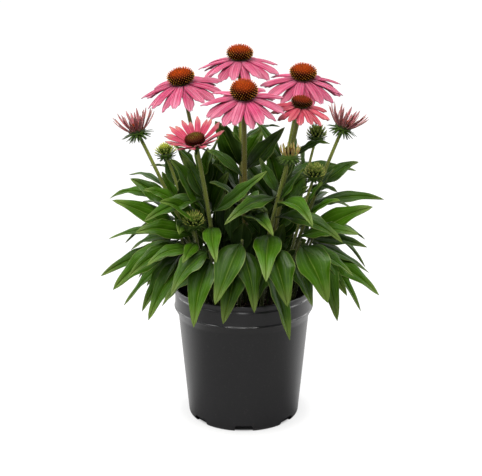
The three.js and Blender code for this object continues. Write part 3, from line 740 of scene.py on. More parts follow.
def make_potting_mix():
    material, tree, shader = new_finish("potting mix", 0.95, specular=0.2)
    body = steps_of(tree, mottled(tree, scale=170.0, contrast=2.4),
                    [(0.0, "#080503"), (0.5, "#140d08"), (0.82, "#281b11"), (1.0, "#4a3824")])
    tree.links.new(body, shader.inputs["Base Color"])
    roughened(tree, shader, scale=700.0, share=1.0, depth=0.001)
    return material


POT_PLASTIC = make_pot_plastic()
POTTING_MIX = make_potting_mix()
print("pot finishes:", POT_PLASTIC.name, "/", POTTING_MIX.name)

# %% [markdown]
# ## The pot
# A nursery pot is moulded in one shot: a rolled lip with a groove under it, a straight collar that
# ends in a bead over a ledge, a tapered body and a foot with drainage notches. One profile turned
# round the axis gives it all, so it is drawn as a line, its corners are softened, and it is spun.
# A Boolean then cuts the notches. Modelling the ledges one by one would give the same pot with far
# more work.

# %% The pot's sizes, in millimetres
POT_HEIGHT = 168
RIM_RADIUS = 84.6
RIM_WALL = 2
LIP = 5
GROOVE = 1.5
GROOVE_TOP = LIP * 1.4  # measured down from the pot's top
GROOVE_FOOT = LIP * 1.7
COLLAR_INSET = 0.5
COLLAR_FOOT = 140
BEAD = 1.0
BEAD_TOP = 1.8  # heights above the collar's foot
BEAD_FADES = 2.8
BODY_TOP = 131
BODY_RADIUS = 80
FOOT_RADIUS = 67.8
FOOT_ROUND = 3
POT_WALL = 1.8
POT_FLOOR = 3
NOTCHES = 7
NOTCH_WIDTH = 22
NOTCH_HEIGHT = 8
NOTCH_DEPTH = 14

foot_slope = (BODY_RADIUS - FOOT_RADIUS) / BODY_TOP
collar = RIM_RADIUS - COLLAR_INSET
# Each row is the radius, the height and how far the corner is softened.
POT_OUTSIDE = [
    (FOOT_RADIUS - FOOT_ROUND, 0, 1.5),
    (FOOT_RADIUS + foot_slope * FOOT_ROUND, FOOT_ROUND, 2.5),
    (BODY_RADIUS, BODY_TOP, 2.0),
    (collar, COLLAR_FOOT, 0.8),
    (collar + BEAD, COLLAR_FOOT + BEAD, 0.6),
    (collar + BEAD, COLLAR_FOOT + BEAD_TOP, 0.8),
    (collar, COLLAR_FOOT + BEAD_FADES, 0.8),
    (collar, POT_HEIGHT - GROOVE_FOOT, 0.8),
    (RIM_RADIUS - GROOVE, POT_HEIGHT - GROOVE_TOP, 0.7),
    (RIM_RADIUS, POT_HEIGHT - LIP, 0.8),
    (RIM_RADIUS, POT_HEIGHT, 0.9),
]
POT_INSIDE = [
    (RIM_RADIUS - RIM_WALL, POT_HEIGHT, 0.8),
    (RIM_RADIUS - RIM_WALL - GROOVE, POT_HEIGHT - LIP, 1.0),
    (BODY_RADIUS - POT_WALL, BODY_TOP, 2.0),
    (FOOT_RADIUS - POT_WALL, POT_FLOOR, 1.5),
]
print("pot profile corners:", len(POT_OUTSIDE) + len(POT_INSIDE))

# %% Soften the profile and spin it
CORNER_STEPS = 4
LONGEST_CORNER = 0.45  # of the straight piece beside it
POT_SIDES = 144


def softened(profile):
    """Replaces each corner by a small curve that starts and ends that far from it."""
    line = [Vector((0, 0))]
    corners = [Vector(row[:2]) for row in profile]
    ends = [Vector((0, corners[0].y)), *corners, Vector((0, corners[-1].y))]
    for i, (_, _, reach) in enumerate(profile):
        here = corners[i]
        to_start = ends[i] - here
        to_stop = ends[i + 2] - here
        start = here + to_start.normalized() * min(reach, to_start.length * LONGEST_CORNER)
        stop = here + to_stop.normalized() * min(reach, to_stop.length * LONGEST_CORNER)
        for k in range(CORNER_STEPS + 1):
            t = k / CORNER_STEPS
            line.append(start * (1 - t) ** 2 + here * (2 * t * (1 - t)) + stop * t ** 2)
    line.append(Vector((0, corners[-1].y)))
    return line


def spun(line, sides):
    """Turns a line of (radius, height) round the Z axis into a closed mesh, in metres."""
    shell = bmesh.new()
    points = [shell.verts.new((p.x * MM, 0, p.y * MM)) for p in line]
    edges = [shell.edges.new(pair) for pair in zip(points, points[1:])]
    bmesh.ops.spin(shell, geom=points + edges, cent=(0, 0, 0), axis=(0, 0, 1),
                   angle=FULL_TURN, steps=sides)
    bmesh.ops.remove_doubles(shell, verts=shell.verts, dist=1e-6)
    bmesh.ops.recalc_face_normals(shell, faces=shell.faces)
    return shell


def shaped(name, shape):
    """A new object with the mesh that bmesh has shaped."""
    mesh = bpy.data.meshes.new(name)
    shape.to_mesh(mesh)
    shape.free()
    return shown(name, mesh)


pot = shaped("pot_shell", spun(softened(POT_OUTSIDE + POT_INSIDE), POT_SIDES))
print("pot faces before the notches:", len(pot.data.polygons))

# %% Cut the drainage notches
NOTCH_ROUND = 1.2
POT_SHARP = 32  # degrees


def finished_mesh(piece):
    """The piece's mesh with its modifiers applied, which are then removed."""
    bpy.context.view_layer.update()
    graph = bpy.context.evaluated_depsgraph_get()
    made = bpy.data.meshes.new_from_object(piece.evaluated_get(graph))
    piece.modifiers.clear()
    piece.data = made
    return made


def in_fixed_order(mesh):
    """The same mesh with its points and faces sorted by place."""
    places = np.empty(len(mesh.vertices) * 3)
    mesh.vertices.foreach_get("co", places)
    places = places.reshape(-1, 3)
    order = np.lexsort(places.T)
    rank = np.empty(len(order), int)
    rank[order] = np.arange(len(order))
    faces = []
    for polygon in mesh.polygons:
        corners = rank[list(polygon.vertices)].tolist()
        first = corners.index(min(corners))
        faces.append(corners[first:] + corners[:first])
    ordered = bpy.data.meshes.new(mesh.name)
    ordered.from_pydata(places[order].tolist(), [], sorted(faces))
    return ordered


# Each block reaches as far below the floor as above it, so the cut opens the foot's edge.
block = Matrix.Diagonal((NOTCH_DEPTH * MM, NOTCH_WIDTH * MM, NOTCH_HEIGHT * 2 * MM, 1))
notch_cutter = bmesh.new()
for i in range(NOTCHES):
    bearing = -math.pi / 2 + i / NOTCHES * FULL_TURN
    placed = (Matrix.Rotation(bearing, 4, "Z") @ Matrix.Translation((FOOT_RADIUS * MM, 0, 0))
              @ block)
    bmesh.ops.create_cube(notch_cutter, size=1, matrix=placed)
upper_edges = [e for e in notch_cutter.edges if min(v.co.z for v in e.verts) > 0]
bmesh.ops.bevel(notch_cutter, geom=upper_edges, offset=NOTCH_ROUND * MM, segments=3,
                affect="EDGES")
cutter = shaped("notches", notch_cutter)
cut = pot.modifiers.new("notches", "BOOLEAN")
cut.operation = "DIFFERENCE"
cut.object = cutter
cut.solver = "EXACT"
# A Boolean hands its faces over in another order on each run, so they are put in a fixed one.
pot.data = in_fixed_order(finished_mesh(pot))
bpy.data.objects.remove(cutter)
pot.data.materials.append(POT_PLASTIC)
pot.data.shade_smooth()
pot.data.set_sharp_from_angle(angle=math.radians(POT_SHARP))
settle(pot, "pot")
print("pot faces:", len(pot.data.polygons))

# %% [markdown]
# ## The potting mix
# Peat is a heap of crumbs. A low mound with a rough skin gives the heap, and Geometry Nodes strew
# crumbs over it: points on its upper faces, one crumb on each, turned and sized at random from a
# fixed seed. Crumbs made one by one would be the same work a thousand times.
# Every tree of this plant ends alike: a shape is copied onto points, the copies are made real,
# and they get their material. That end is written once.

# %% Trees that repeat a shape
def repeating_tree(name, **sizes):
    """A tree with the sockets that every repeat needs, and its own sizes as named inputs."""
    sockets = {"Geometry": ("NodeSocketGeometry", None), "Shape": ("NodeSocketObject", None),
               "Seed": ("NodeSocketInt", 1), "Material": ("NodeSocketMaterial", None)}
    for label, value in sizes.items():
        kind = "NodeSocketInt" if isinstance(value, int) else "NodeSocketFloat"
        sockets[label] = (kind, value)
    return group(name, "GeometryNodeTree", sockets, {"Geometry": "NodeSocketGeometry"})


def repeat(tree, start, end, points, turn, sizes, base=None):
    """Copies the shape onto points, sized between two values, beside the base if there is one."""
    smallest, largest = sizes
    size = place(tree, "FunctionNodeRandomValue", {"Seed": start["Seed"]}, data_type="FLOAT")
    for socket, value in ((size.inputs[2], smallest), (size.inputs[3], largest)):
        tree.links.new(value, socket)
    shape = place(tree, "GeometryNodeObjectInfo", {"Object": start["Shape"]})
    copies = place(tree, "GeometryNodeInstanceOnPoints", {
        "Points": points, "Instance": shape.outputs["Geometry"], "Rotation": turn,
        "Scale": size.outputs[1]})
    joined = place(tree, "GeometryNodeJoinGeometry")
    tree.links.new(copies.outputs[0], joined.inputs[0])
    if base is not None:
        tree.links.new(base, joined.inputs[0])
    real = place(tree, "GeometryNodeRealizeInstances", {"Geometry": joined.outputs[0]})
    dressed = place(tree, "GeometryNodeSetMaterial",
                    {"Geometry": real.outputs[0], "Material": start["Material"]})
    tree.links.new(dressed.outputs[0], end["Geometry"])
    return tree


def run_tree(piece, tree, shape, material, seed, **sizes):
    """Runs a tree on a piece and keeps the result as a plain mesh. The shape is then removed."""
    modifier = piece.modifiers.new(tree.name, "NODES")
    modifier.node_group = tree
    sockets = {item.name: item.identifier for item in tree.interface.items_tree
               if item.item_type == "SOCKET" and item.in_out == "INPUT"}
    values = {"Shape": shape, "Material": material, "Seed": seed, **sizes}
    for name, value in values.items():
        modifier[sockets[name]] = value
    finished_mesh(piece)
    bpy.data.objects.remove(shape)


def stray(name, points, faces, tipward=None):
    """A small mesh object that a tree repeats."""
    mesh = bpy.data.meshes.new(name)
    mesh.from_pydata(points, [], faces)
    mesh.shade_smooth()
    if tipward is not None:
        mesh.attributes.new("tipward", "FLOAT", "POINT").data.foreach_set("value", tipward)
    return shown(name, mesh)


print("tree helpers ready:", ", ".join(f.__name__ for f in (repeating_tree, repeat, run_tree)))

# %% The tree that strews crumbs
UPWARD = 0.5  # a face counts as a top if its normal rises more than this


def make_strew():
    """Strews copies of a shape over the upward faces of a piece."""
    tree, start, end = repeating_tree("strewn crumbs", Density=1000.0, Smallest=0.5, Largest=1.5)
    facing = parts_of(tree, place(tree, "GeometryNodeInputNormal").outputs[0])
    is_top = place(tree, "FunctionNodeCompare", {0: facing["Z"], 1: UPWARD},
                   data_type="FLOAT", operation="GREATER_THAN")
    points = place(tree, "GeometryNodeDistributePointsOnFaces", {
        "Mesh": start["Geometry"], "Selection": is_top.outputs[0], "Density": start["Density"],
        "Seed": start["Seed"]})
    spin = place(tree, "FunctionNodeRandomValue", {"Seed": start["Seed"], 1: (FULL_TURN,) * 3},
                 data_type="FLOAT_VECTOR")
    return repeat(tree, start, end, points.outputs["Points"], spin.outputs[0],
                  (start["Smallest"], start["Largest"]), start["Geometry"])


STREW = make_strew()
print("tree made:", STREW.name)

# %% The mound
SOIL_TOP = 152
SOIL_MOUND = 4
SOIL_LUMP = 1.5
SOIL_SWELL = 0.3
SOIL_GRIT = (-0.6, 0.4)
SOIL_CLEAR = 0.6
SOIL_FOOT_CLEAR = 0.3
SOIL_SIDES = 72
SOIL_RINGS = 20

dice = random.Random(4)
soil_wide = BODY_RADIUS - POT_WALL - SOIL_CLEAR
# The mix keeps clear of the notches, so that they stay deep and dark.
clear_of_notches = FOOT_RADIUS - NOTCH_DEPTH
soil_rings = [
    (clear_of_notches, POT_FLOOR + SOIL_FOOT_CLEAR, 0.0),
    (clear_of_notches, NOTCH_HEIGHT + 2, 0.0),
    (FOOT_RADIUS - POT_WALL - SOIL_CLEAR, NOTCH_HEIGHT + 3, 0.0),
    (soil_wide, BODY_TOP, 0.0),
]
for k in range(SOIL_RINGS, 0, -1):
    share = k / SOIL_RINGS
    soil_rings.append((soil_wide * share, SOIL_TOP - SOIL_MOUND * share, SOIL_LUMP))
soil_points = []
for radius, height, lump in soil_rings:
    for i in range(SOIL_SIDES):
        a = i / SOIL_SIDES * FULL_TURN
        # Five broad swells and nine narrow ones, which wind as they go outwards.
        swells = math.sin(a * 5 + radius * 0.3) + math.sin(a * 9 + radius * 0.7)
        rough = lump * swells * SOIL_SWELL
        rough += lump * dice.uniform(*SOIL_GRIT)
        soil_points.append((radius * math.cos(a), radius * math.sin(a), height + rough))
soil_points.append((0, 0, SOIL_TOP))
soil_faces = [tuple(reversed(range(SOIL_SIDES)))]
soil_faces += ring_faces(len(soil_rings), SOIL_SIDES)
soil_faces += fan_faces((len(soil_rings) - 1) * SOIL_SIDES, SOIL_SIDES, len(soil_points) - 1)
soil_skin = skin(np.array(soil_points), soil_faces, np.zeros((len(soil_points), 2)))
soil = grow("potting_mix", [soil_skin], [POTTING_MIX], sharp=180)
print("faces of the bare mound:", len(soil.data.polygons))

# %% The crumbs
CRUMB_RADIUS = 1.6
CRUMB_FLAT = 0.7
CRUMBS_PER_SQUARE_METRE = 70000.0

crumb_shape = bmesh.new()
bmesh.ops.create_icosphere(crumb_shape, subdivisions=1, radius=CRUMB_RADIUS * MM)
for corner in crumb_shape.verts:
    corner.co *= dice.uniform(0.6, 1.1)
    corner.co.z *= CRUMB_FLAT
run_tree(soil, STREW, shaped("crumb", crumb_shape), POTTING_MIX, seed=3,
         Density=CRUMBS_PER_SQUARE_METRE, Smallest=0.4, Largest=1.5)
settle(soil, "soil")
print("potting mix faces:", len(soil.data.polygons))

# %% [markdown]
# ## Where everything grows
# A stem is a curve from the soil to its head. A leaf leaves it at a height above the soil and ends
# at its tip; `wide` is its width, `arch` how far its middle is lifted, and `face` turns its upper
# side from the sky to the front, in degrees. The layout is written once, here, in millimetres.

# %% The layout
def leaf(at, tip, wide, arch, face=0, stalk=0.1):
    return dict(at=at, tip=tip, wide=wide, arch=arch, face=face, stalk=stalk)


STEMS = [
    dict(name="flower_back", kind="broad", base=(-2, 26), head=(-5, 84, 428), lean=0.35,
         radius=(3.0, 2.3), tilt=(3, -90), leaves=[
        leaf(150, (-24, 16, 366), 27, 4, 30), leaf(164, (-12, 66, 354), 20, 8),
        leaf(178, (45, 84, 345), 15, 16), leaf(132, (22, 36, 346), 22, 6, 30),
        leaf(120, (-52, 116, 300), 26, 20), leaf(104, (38, 132, 280), 27, 23),
        leaf(88, (-28, 138, 250), 30, 24), leaf(116, (-36, 4, 318), 26, 2, 60),
        leaf(72, (32, 8, 262), 26, 2, 60), leaf(86, (-36, 32, 272), 28, 2, 60),
        leaf(118, (-39, 34, 328), 30, 2, 65), leaf(98, (-46, 30, 306), 28, 2, 65),
        leaf(148, (-35, 58, 358), 32, 2, 70), leaf(150, (23, 66, 346), 26, 2, 60),
        leaf(78, (-34, 22, 251), 30, 2, 60), leaf(60, (-29, 22, 219), 30, 4, 60),
        leaf(58, (25, 16, 226), 30, 4, 60), leaf(44, (-47, 24, 198), 30, 4, 50),
        leaf(40, (23, 20, 204), 30, 4, 50)
    ]),
    dict(name="flower_right", kind="broad", base=(26, 16), head=(71, 46, 412), lean=0.4,
         radius=(2.9, 2.2), tilt=(10, -75), leaves=[
        leaf(156, (14, 30, 366), 18, 6, 40), leaf(150, (64, 52, 338), 15, 14, 20),
        leaf(138, (120, 34, 306), 22, 14, 25), leaf(118, (88, 108, 292), 24, 19),
        leaf(96, (52, 124, 262), 28, 22), leaf(104, (-2, 8, 322), 26, 0, 60),
        leaf(126, (29, 34, 329), 28, 2, 65), leaf(84, (76, 30, 294), 30, 4, 60),
        leaf(62, (85, 26, 260), 30, 4, 60), leaf(52, (59, 14, 227), 28, 4, 60),
        leaf(38, (77, 12, 220), 28, 4, 50), leaf(96, (79, 20, 286), 20, 2, 60)
    ]),
    dict(name="flower_front", kind="bloom", base=(2, -18), head=(0, -60, 412), lean=0.45,
         radius=(3.3, 2.8), tilt=(15, -90), leaves=[
        leaf(170, (48, -20, 369), 26, -4, 40), leaf(160, (-46, -12, 339), 15, 12, 20),
        leaf(132, (12, -102, 296), 20, 20, 20), leaf(104, (33, -130, 270), 30, 22, 10),
        leaf(122, (-40, -58, 312), 20, 14, 30), leaf(112, (28, -78, 281), 18, 16, 10)
    ]),
    dict(name="flower_left", kind="broad", base=(-26, 14), head=(-73.5, 20, 412), lean=0.42,
         radius=(2.7, 2.1), tilt=(12, -135), leaves=[
        leaf(150, (-84, 2, 342), 17, 8, 40), leaf(132, (-116, 66, 300), 20, 16),
        leaf(112, (-82, 104, 284), 26, 20), leaf(96, (-54, 122, 250), 28, 23),
        leaf(136, (-28, -2, 356), 24, 2, 55), leaf(84, (-76, 4, 284), 26, 6, 55),
        leaf(60, (12, 2, 262), 26, 2, 60), leaf(118, (-91, 4, 317), 26, 4, 60),
        leaf(108, (-75, 8, 331), 24, 4, 60), leaf(92, (-59, 6, 332), 26, 2, 60),
        leaf(110, (-26, 28, 327), 26, 2, 80), leaf(96, (-18, 0, 309), 28, 0, 65),
        leaf(62, (-17, 6, 266), 28, 2, 60), leaf(66, (-72, 6, 255), 28, 4, 60),
        leaf(100, (-79, 12, 334), 22, 2, 60), leaf(128, (-43, 18, 335), 22, 2, 60),
        leaf(44, (-48, 8, 214), 28, 4, 50), leaf(80, (-35, 2, 265), 24, 2, 60)
    ]),
    dict(name="flower_right_low", kind="young", base=(24, -6), head=(66, -30, 395), lean=0.4,
         radius=(3.0, 2.5), tilt=(9, -40), leaves=[
        leaf(178, (102, -12, 347), 12, 14, 20), leaf(128, (62, -34, 335), 22, 2, 50),
        leaf(112, (76, 16, 300), 24, 12, 50), leaf(90, (4, 2, 300), 22, 2, 55),
        leaf(65, (-9, -9, 266), 23, 3, 55), leaf(84, (63, -4, 280), 24, 2, 60),
        leaf(43, (65, -9, 201), 25, 4, 60)
    ]),
    dict(name="flower_left_low", kind="fresh", base=(-27, -38), head=(-54, -95, 368), lean=0.35,
         radius=(2.9, 2.3), tilt=(18, -120), leaves=[
        leaf(145, (-116, -72, 269), 24, 12, 40), leaf(108, (-31, -140, 242), 22, 16, 0),
        leaf(124, (26, -110, 340), 22, -6, 50), leaf(142, (-70, -58, 343), 20, -2, 40)
    ]),
    dict(name="opening_left", kind="opening", base=(-40, -4), head=(-126, -10, 361.5), lean=0.42,
         radius=(2.5, 2.0), tilt=(13, 180), leaves=[
        leaf(140, (-142, 58, 290), 10, 14, 15), leaf(116, (-136, 0, 301), 22, 4, 50),
        leaf(116, (-164, 28, 268), 14, 26, 25), leaf(79, (-156, -24, 281), 33, 5, 50),
        leaf(80, (-165, 10, 222), 16, 18, 30), leaf(104, (-128, 64, 250), 22, 22),
        leaf(66, (-79, 0, 279), 26, 4, 60), leaf(88, (-98, 0, 310), 22, 3, 60)
    ]),
    dict(name="opening_right", kind="opening", base=(44, 0), head=(118, 5, 363), lean=0.42,
         radius=(2.5, 2.0), tilt=(20, 0), leaves=[
        leaf(138, (138, 10, 319), 20, 6, 45), leaf(115, (171, 20, 269), 17, 15, 30),
        leaf(74, (153, -28, 274), 34, 2, 50), leaf(76, (150, -2, 215), 24, 8, 30),
        leaf(126, (106, -34, 322), 16, 2, 40)
    ]),
    dict(name="bud_left", kind="bud", base=(-36, -22), head=(-91, -35, 340), lean=0.42,
         radius=(2.2, 1.8), tilt=(10, 150), leaves=[
        leaf(145, (-92, -16, 334), 16, 2, 40), leaf(118, (-118, -40, 298), 18, 13, 40),
        leaf(84, (-127, -54, 250), 28, 14, 40), leaf(100, (-74, -98, 262), 20, 10, 30)
    ]),
    dict(name="bud_right", kind="bud", base=(46, 24), head=(89, 55, 339), lean=0.42,
         radius=(2.0, 1.5), tilt=(4, 0), leaves=[
        leaf(118, (114, 22, 278), 17, 14, 30), leaf(130, (140, 70, 292), 17, 17, 10),
        leaf(96, (136, 52, 248), 20, 22, 15), leaf(78, (108, 98, 256), 26, 20),
        leaf(116, (72, 56, 328), 20, 0, 60)
    ]),
    dict(name="bud_front", kind="half_open", base=(14, -40), head=(52, -85, 351), lean=0.35,
         radius=(2.6, 2.2), tilt=(3, -90), leaves=[
        leaf(146, (-22, -136, 285), 20, 18, 20), leaf(98, (25, -140, 219), 34, 20, 0),
        leaf(132, (77, -130, 281), 26, 30, 10), leaf(120, (114, -90, 249), 26, 20, 30),
        leaf(140, (68, -74, 334), 15, -4, 40), leaf(150, (18, -56, 342), 14, -2, 40)
    ]),
    dict(name="bud_right_low", kind="bud", base=(42, -18), head=(83, -25, 311), lean=0.42,
         radius=(2.0, 1.6), tilt=(6, -60), leaves=[
        leaf(98, (112, -56, 290), 18, 12, 40), leaf(80, (134, -62, 250), 24, 17, 35),
        leaf(112, (92, -54, 312), 15, 4, 40)
    ]),
    dict(name="bud_left_low", kind="bud", base=(-44, -40), head=(-58, -75, 267), lean=0.4,
         radius=(1.9, 1.6), tilt=(8, -100), leaves=[
        leaf(76, (-112, -92, 222), 20, 22, 30), leaf(90, (-70, -112, 232), 16, 8, 20)
    ]),
]

SHOOTS = [
    dict(name="shoot_west", base=(-54, 4), top=(-78, 6, 236), leaves=[
        leaf(73, (-176, 6, 175), 22, 1, 35), leaf(66, (-147, -8, 142), 20, 9, 30),
        leaf(72, (-141, 45, 196), 16, 18, 20), leaf(50, (-120, 12, 160), 22, 17, 40)
    ]),
    dict(name="shoot_west_front", base=(-56, -24), top=(-74, -40, 238), leaves=[
        leaf(84, (-157, -38, 173), 30, 13, 40), leaf(70, (-122, -48, 149), 25, 15, 30),
        leaf(62, (-113, -72, 147), 25, 16, 20), leaf(76, (-136, -70, 200), 22, 17, 40)
    ]),
    dict(name="shoot_front_left", base=(-30, -58), top=(-40, -82, 238), leaves=[
        leaf(84, (-84, -108, 191), 28, 21, 30), leaf(74, (-58, -116, 155), 32, 22, 0),
        leaf(62, (-96, -80, 168), 26, 17, 20)
    ]),
    dict(name="shoot_front", base=(-6, -60), top=(-2, -88, 252), leaves=[
        leaf(98, (-33, -130, 188), 38, 17, 0), leaf(78, (-24, -118, 160), 34, 20, 0),
        leaf(88, (12, -124, 176), 28, 19, 0)
    ]),
    dict(name="shoot_front_mid", base=(20, -62), top=(30, -86, 246), leaves=[
        leaf(90, (50, -126, 184), 38, 18, 0), leaf(74, (53, -118, 140), 32, 22, 0),
        leaf(60, (12, -98, 174), 26, 14, 0)
    ]),
    dict(name="shoot_front_right", base=(44, -44), top=(66, -68, 244), leaves=[
        leaf(88, (97, -102, 180), 42, 18, 15), leaf(64, (80, -92, 172), 26, 14, 10),
        leaf(82, (128, -78, 204), 22, 17, 30)
    ]),
    dict(name="shoot_east", base=(60, -12), top=(84, -18, 236), leaves=[
        leaf(66, (165, -16, 158), 26, 7, 35), leaf(72, (142, -28, 142), 20, 24, 35),
        leaf(64, (112, -54, 139), 32, 26, 20), leaf(76, (154, 8, 179), 16, 8, 25),
        leaf(58, (124, -40, 166), 22, 18, 40)
    ]),
    dict(name="shoot_east_back", base=(60, 22), top=(88, 32, 234), leaves=[
        leaf(80, (152, 38, 176), 22, 19, 10), leaf(76, (153, 64, 204), 22, 20, 0),
        leaf(60, (134, 74, 150), 28, 21, -15), leaf(68, (108, 88, 168), 28, 19, -20)
    ]),
    dict(name="shoot_back_right", base=(30, 50), top=(46, 80, 238), leaves=[
        leaf(82, (84, 122, 188), 32, 19, -10), leaf(70, (64, 124, 148), 32, 22, 0),
        leaf(84, (34, 138, 200), 34, 18, 0), leaf(60, (98, 96, 152), 26, 19, -20)
    ]),
    dict(name="shoot_back", base=(2, 58), top=(0, 88, 246), leaves=[
        leaf(90, (-12, 142, 196), 34, 18, 0), leaf(72, (20, 132, 150), 32, 22, 0),
        leaf(82, (-42, 132, 168), 30, 21, 0)
    ]),
    dict(name="shoot_back_left", base=(-28, 50), top=(-48, 76, 238), leaves=[
        leaf(84, (-84, 124, 190), 34, 19, -10), leaf(70, (-66, 120, 148), 30, 22, 0),
        leaf(62, (-98, 92, 152), 26, 19, -20), leaf(47, (-20, 38, 207), 28, 5, 40)
    ]),
    dict(name="shoot_west_back", base=(-54, 30), top=(-80, 46, 236), leaves=[
        leaf(84, (-150, 74, 196), 28, 20, -10), leaf(72, (-130, 76, 152), 28, 23, -20),
        leaf(78, (-112, 104, 180), 28, 20, -20), leaf(58, (-132, 44, 160), 24, 18, 0)
    ]),
]

print("flowering stems:", len(STEMS), " leafy shoots:", len(SHOOTS))
print("leaves:", sum(len(row["leaves"]) for row in STEMS + SHOOTS))

# %% [markdown]
# ## Leaves
# A leaf is a thin blade on a curved rib. Real blades are never flat: the two halves rise from the
# rib like a shallow V and bulge between the veins, the edge ripples, and the tip is drawn out and
# turns down. Each of these is one term in the sums below, and a seed for each leaf varies them, so
# that no two leaves match. The blade is a grid of points, which keeps its veins on its own map.

# %% Curves and turns
def bend(a, b, c, t):
    """Points on the curve that starts at a, is drawn to b and ends at c, and its directions."""
    t = np.asarray(t)[:, None]
    points = (1 - t) ** 2 * a + 2 * t * (1 - t) * b + t ** 2 * c
    alongs = (1 - t) * (b - a) + t * (c - b)
    return points, alongs / np.linalg.norm(alongs, axis=1)[:, None]


def turned_about(vectors, axes, angles):
    """Each vector turned about its axis by its angle."""
    cos = np.cos(angles)[:, None]
    sin = np.sin(angles)[:, None]
    dots = np.sum(vectors * axes, axis=1)[:, None]
    return vectors * cos + np.cross(axes, vectors) * sin + axes * dots * (1 - cos)


def past(values, start):
    """0 as far as start, then evenly up to 1 at 1."""
    return np.clip((values - start) / (1 - start), 0, 1)


def map_of(v, u):
    """The map of a blade: v runs from -1 to 1 across it, u from 0 to 1 along it."""
    return np.stack(np.broadcast_arrays((v[None, :] + 1) / 2, u[:, None]), axis=-1)


print("half way to the end, past a start at 0.2:", past(0.6, 0.2))

# %% A leaf's sizes
# Lengths are in millimetres and angles in degrees.
LEAF_ROWS = 18
LEAF_COLUMNS = 11
ROWS_CROWD = 0.93  # under 1, the rows crowd a little towards the tip
STALK_HALF = 0.9  # half the stalk's width
STALK_ENDS = 6  # the stalk's width fades over the last sixth
TIP_HALF = 0.12
WIDEST = 0.72  # under 1, the widest place lies nearer the root
FULL = 0.78  # under 1, the outline is fuller
DRAWN_OUT = 0.18
BLADE_THICK = 0.55
RIB_THICK = 1.2
RIB_WIDE = 0.12
THIN_BELOW = 1.2
SWAY = 0.06  # of the leaf's reach
HOOK = 0.035
HOOK_FROM = 0.45
TURNED_BY = 0.35
TWIST = 22
FOLD = 22
NARROW_FOLD = 14
NARROW = 22
FOLD_LUCK = (0.55, 1.35)
BULGE = 0.09
EDGE_DROOP = 0.1
RIPPLES = (2.0, 3.6)
RIPPLE_HEIGHT = (0.5, 1.5)
HALVES_APART = 1.9  # how far the two edges' ripples are out of step
RIB_SUNK = 0.35
LIT_TONE = 0.75
TONE_FALLS = (190, 320)  # from this height on, by 1 over this height
TONE_KEPT = (0.3, 0.8)
TONE_LUCK = 0.24

print("points in one blade:", LEAF_ROWS * LEAF_COLUMNS * 2)


# %% A leaf's shape
def leaf_rib(root, row, luck):
    """How far along each row is, the rib there, the way across it and the way up from it."""
    tip = np.array(row["tip"], float)
    root = np.array(root, float)
    middle = (root + tip) / 2 + UP * row["arch"]
    reach = np.linalg.norm(tip - root)
    t = np.linspace(0, 1, LEAF_ROWS) ** ROWS_CROWD
    rib, alongs = bend(root, middle, tip, t)
    heading = math.atan2(tip[1] - root[1], tip[0] - root[0])
    across = np.tile([-math.sin(heading), math.cos(heading), 0.0], (LEAF_ROWS, 1))
    sway = luck.uniform(-SWAY, SWAY) * reach
    hook = luck.uniform(0, HOOK) * reach
    rib = rib + UP * (np.sin(math.pi * past(t, HOOK_FROM)) * hook)[:, None]
    rib = rib + across * (np.sin(math.pi * t) * sway * t)[:, None]
    face = -row["face"] if math.cos(heading) < 0 else row["face"]
    turns = math.radians(face) * np.minimum(1, t / TURNED_BY)
    turns = turns + math.radians(luck.uniform(-TWIST, TWIST)) * t
    sides = turned_about(across, alongs, turns)
    normals = np.cross(alongs, sides)
    normals /= np.linalg.norm(normals, axis=1)[:, None]
    return t, rib, sides, normals


def leaf_piece(root, row, seed, fresh=None):
    """One leaf as a closed skin from its root to its tip, with its own tone."""
    luck = random.Random(seed)
    t, rib, sides, normals = leaf_rib(root, row, luck)
    # The outline: a stalk, then a blade with a drawn-out tip.
    u = past(t, row["stalk"])
    share = np.sin(math.pi * u ** WIDEST) ** FULL
    share = share * (1 - DRAWN_OUT * np.sin(math.pi * past(u, 0.5)))
    stalk = STALK_HALF * np.minimum(1, (1 - t) * STALK_ENDS) + TIP_HALF
    half = np.maximum(row["wide"] / 2 * share, stalk)
    fold = math.radians(NARROW_FOLD if row["wide"] < NARROW else FOLD)
    fold *= luck.uniform(*FOLD_LUCK)
    # The section: folded at the rib, bulging beside it and drooping at the edge.
    v = np.linspace(-1, 1, LEAF_COLUMNS)
    spread = np.abs(v)
    rise = math.sin(fold) * spread
    rise = rise + BULGE * np.sin(math.pi * spread) - EDGE_DROOP * spread ** 3
    # The edge's ripples, and the groove over the rib.
    ripples = luck.uniform(*RIPPLES)
    lean = luck.uniform(0, 6.3)
    wave = np.sin(FULL_TURN * ripples * u[:, None] + lean + HALVES_APART * np.sign(v)[None, :])
    wave = wave * (spread ** 2)[None, :] * np.sin(math.pi * u)[:, None]
    wave = wave * luck.uniform(*RIPPLE_HEIGHT)
    sunk = RIB_SUNK * (spread < 0.1)[None, :] * (share > 0.2)[:, None]
    height = half[:, None] * rise[None, :] + wave - sunk
    top = (rib[:, None, :]
           + sides[:, None, :] * (v[None, :] * half[:, None] * math.cos(fold))[..., None]
           + normals[:, None, :] * height[..., None])
    thick = BLADE_THICK + (RIB_THICK - BLADE_THICK) * np.exp(-(v / RIB_WIDE) ** 2)
    thick = thick[None, :] * np.minimum(1, half / THIN_BELOW + 0.2)[:, None]
    if fresh is None:
        start, fall = TONE_FALLS
        fresh = np.clip(LIT_TONE - (root[2] - start) / fall, *TONE_KEPT)
    tone = float(np.clip(fresh + luck.uniform(-TONE_LUCK, TONE_LUCK), 0, 1))
    return blade(top, normals[:, None, :], thick[..., None], map_of(v, t), finish=1, back=2,
                 tone=tone, flush=0.0)


first = leaf_piece((0, 0, SOIL_TOP), STEMS[0]["leaves"][0], seed=1)
print("faces of the first leaf:", len(first["faces"]))

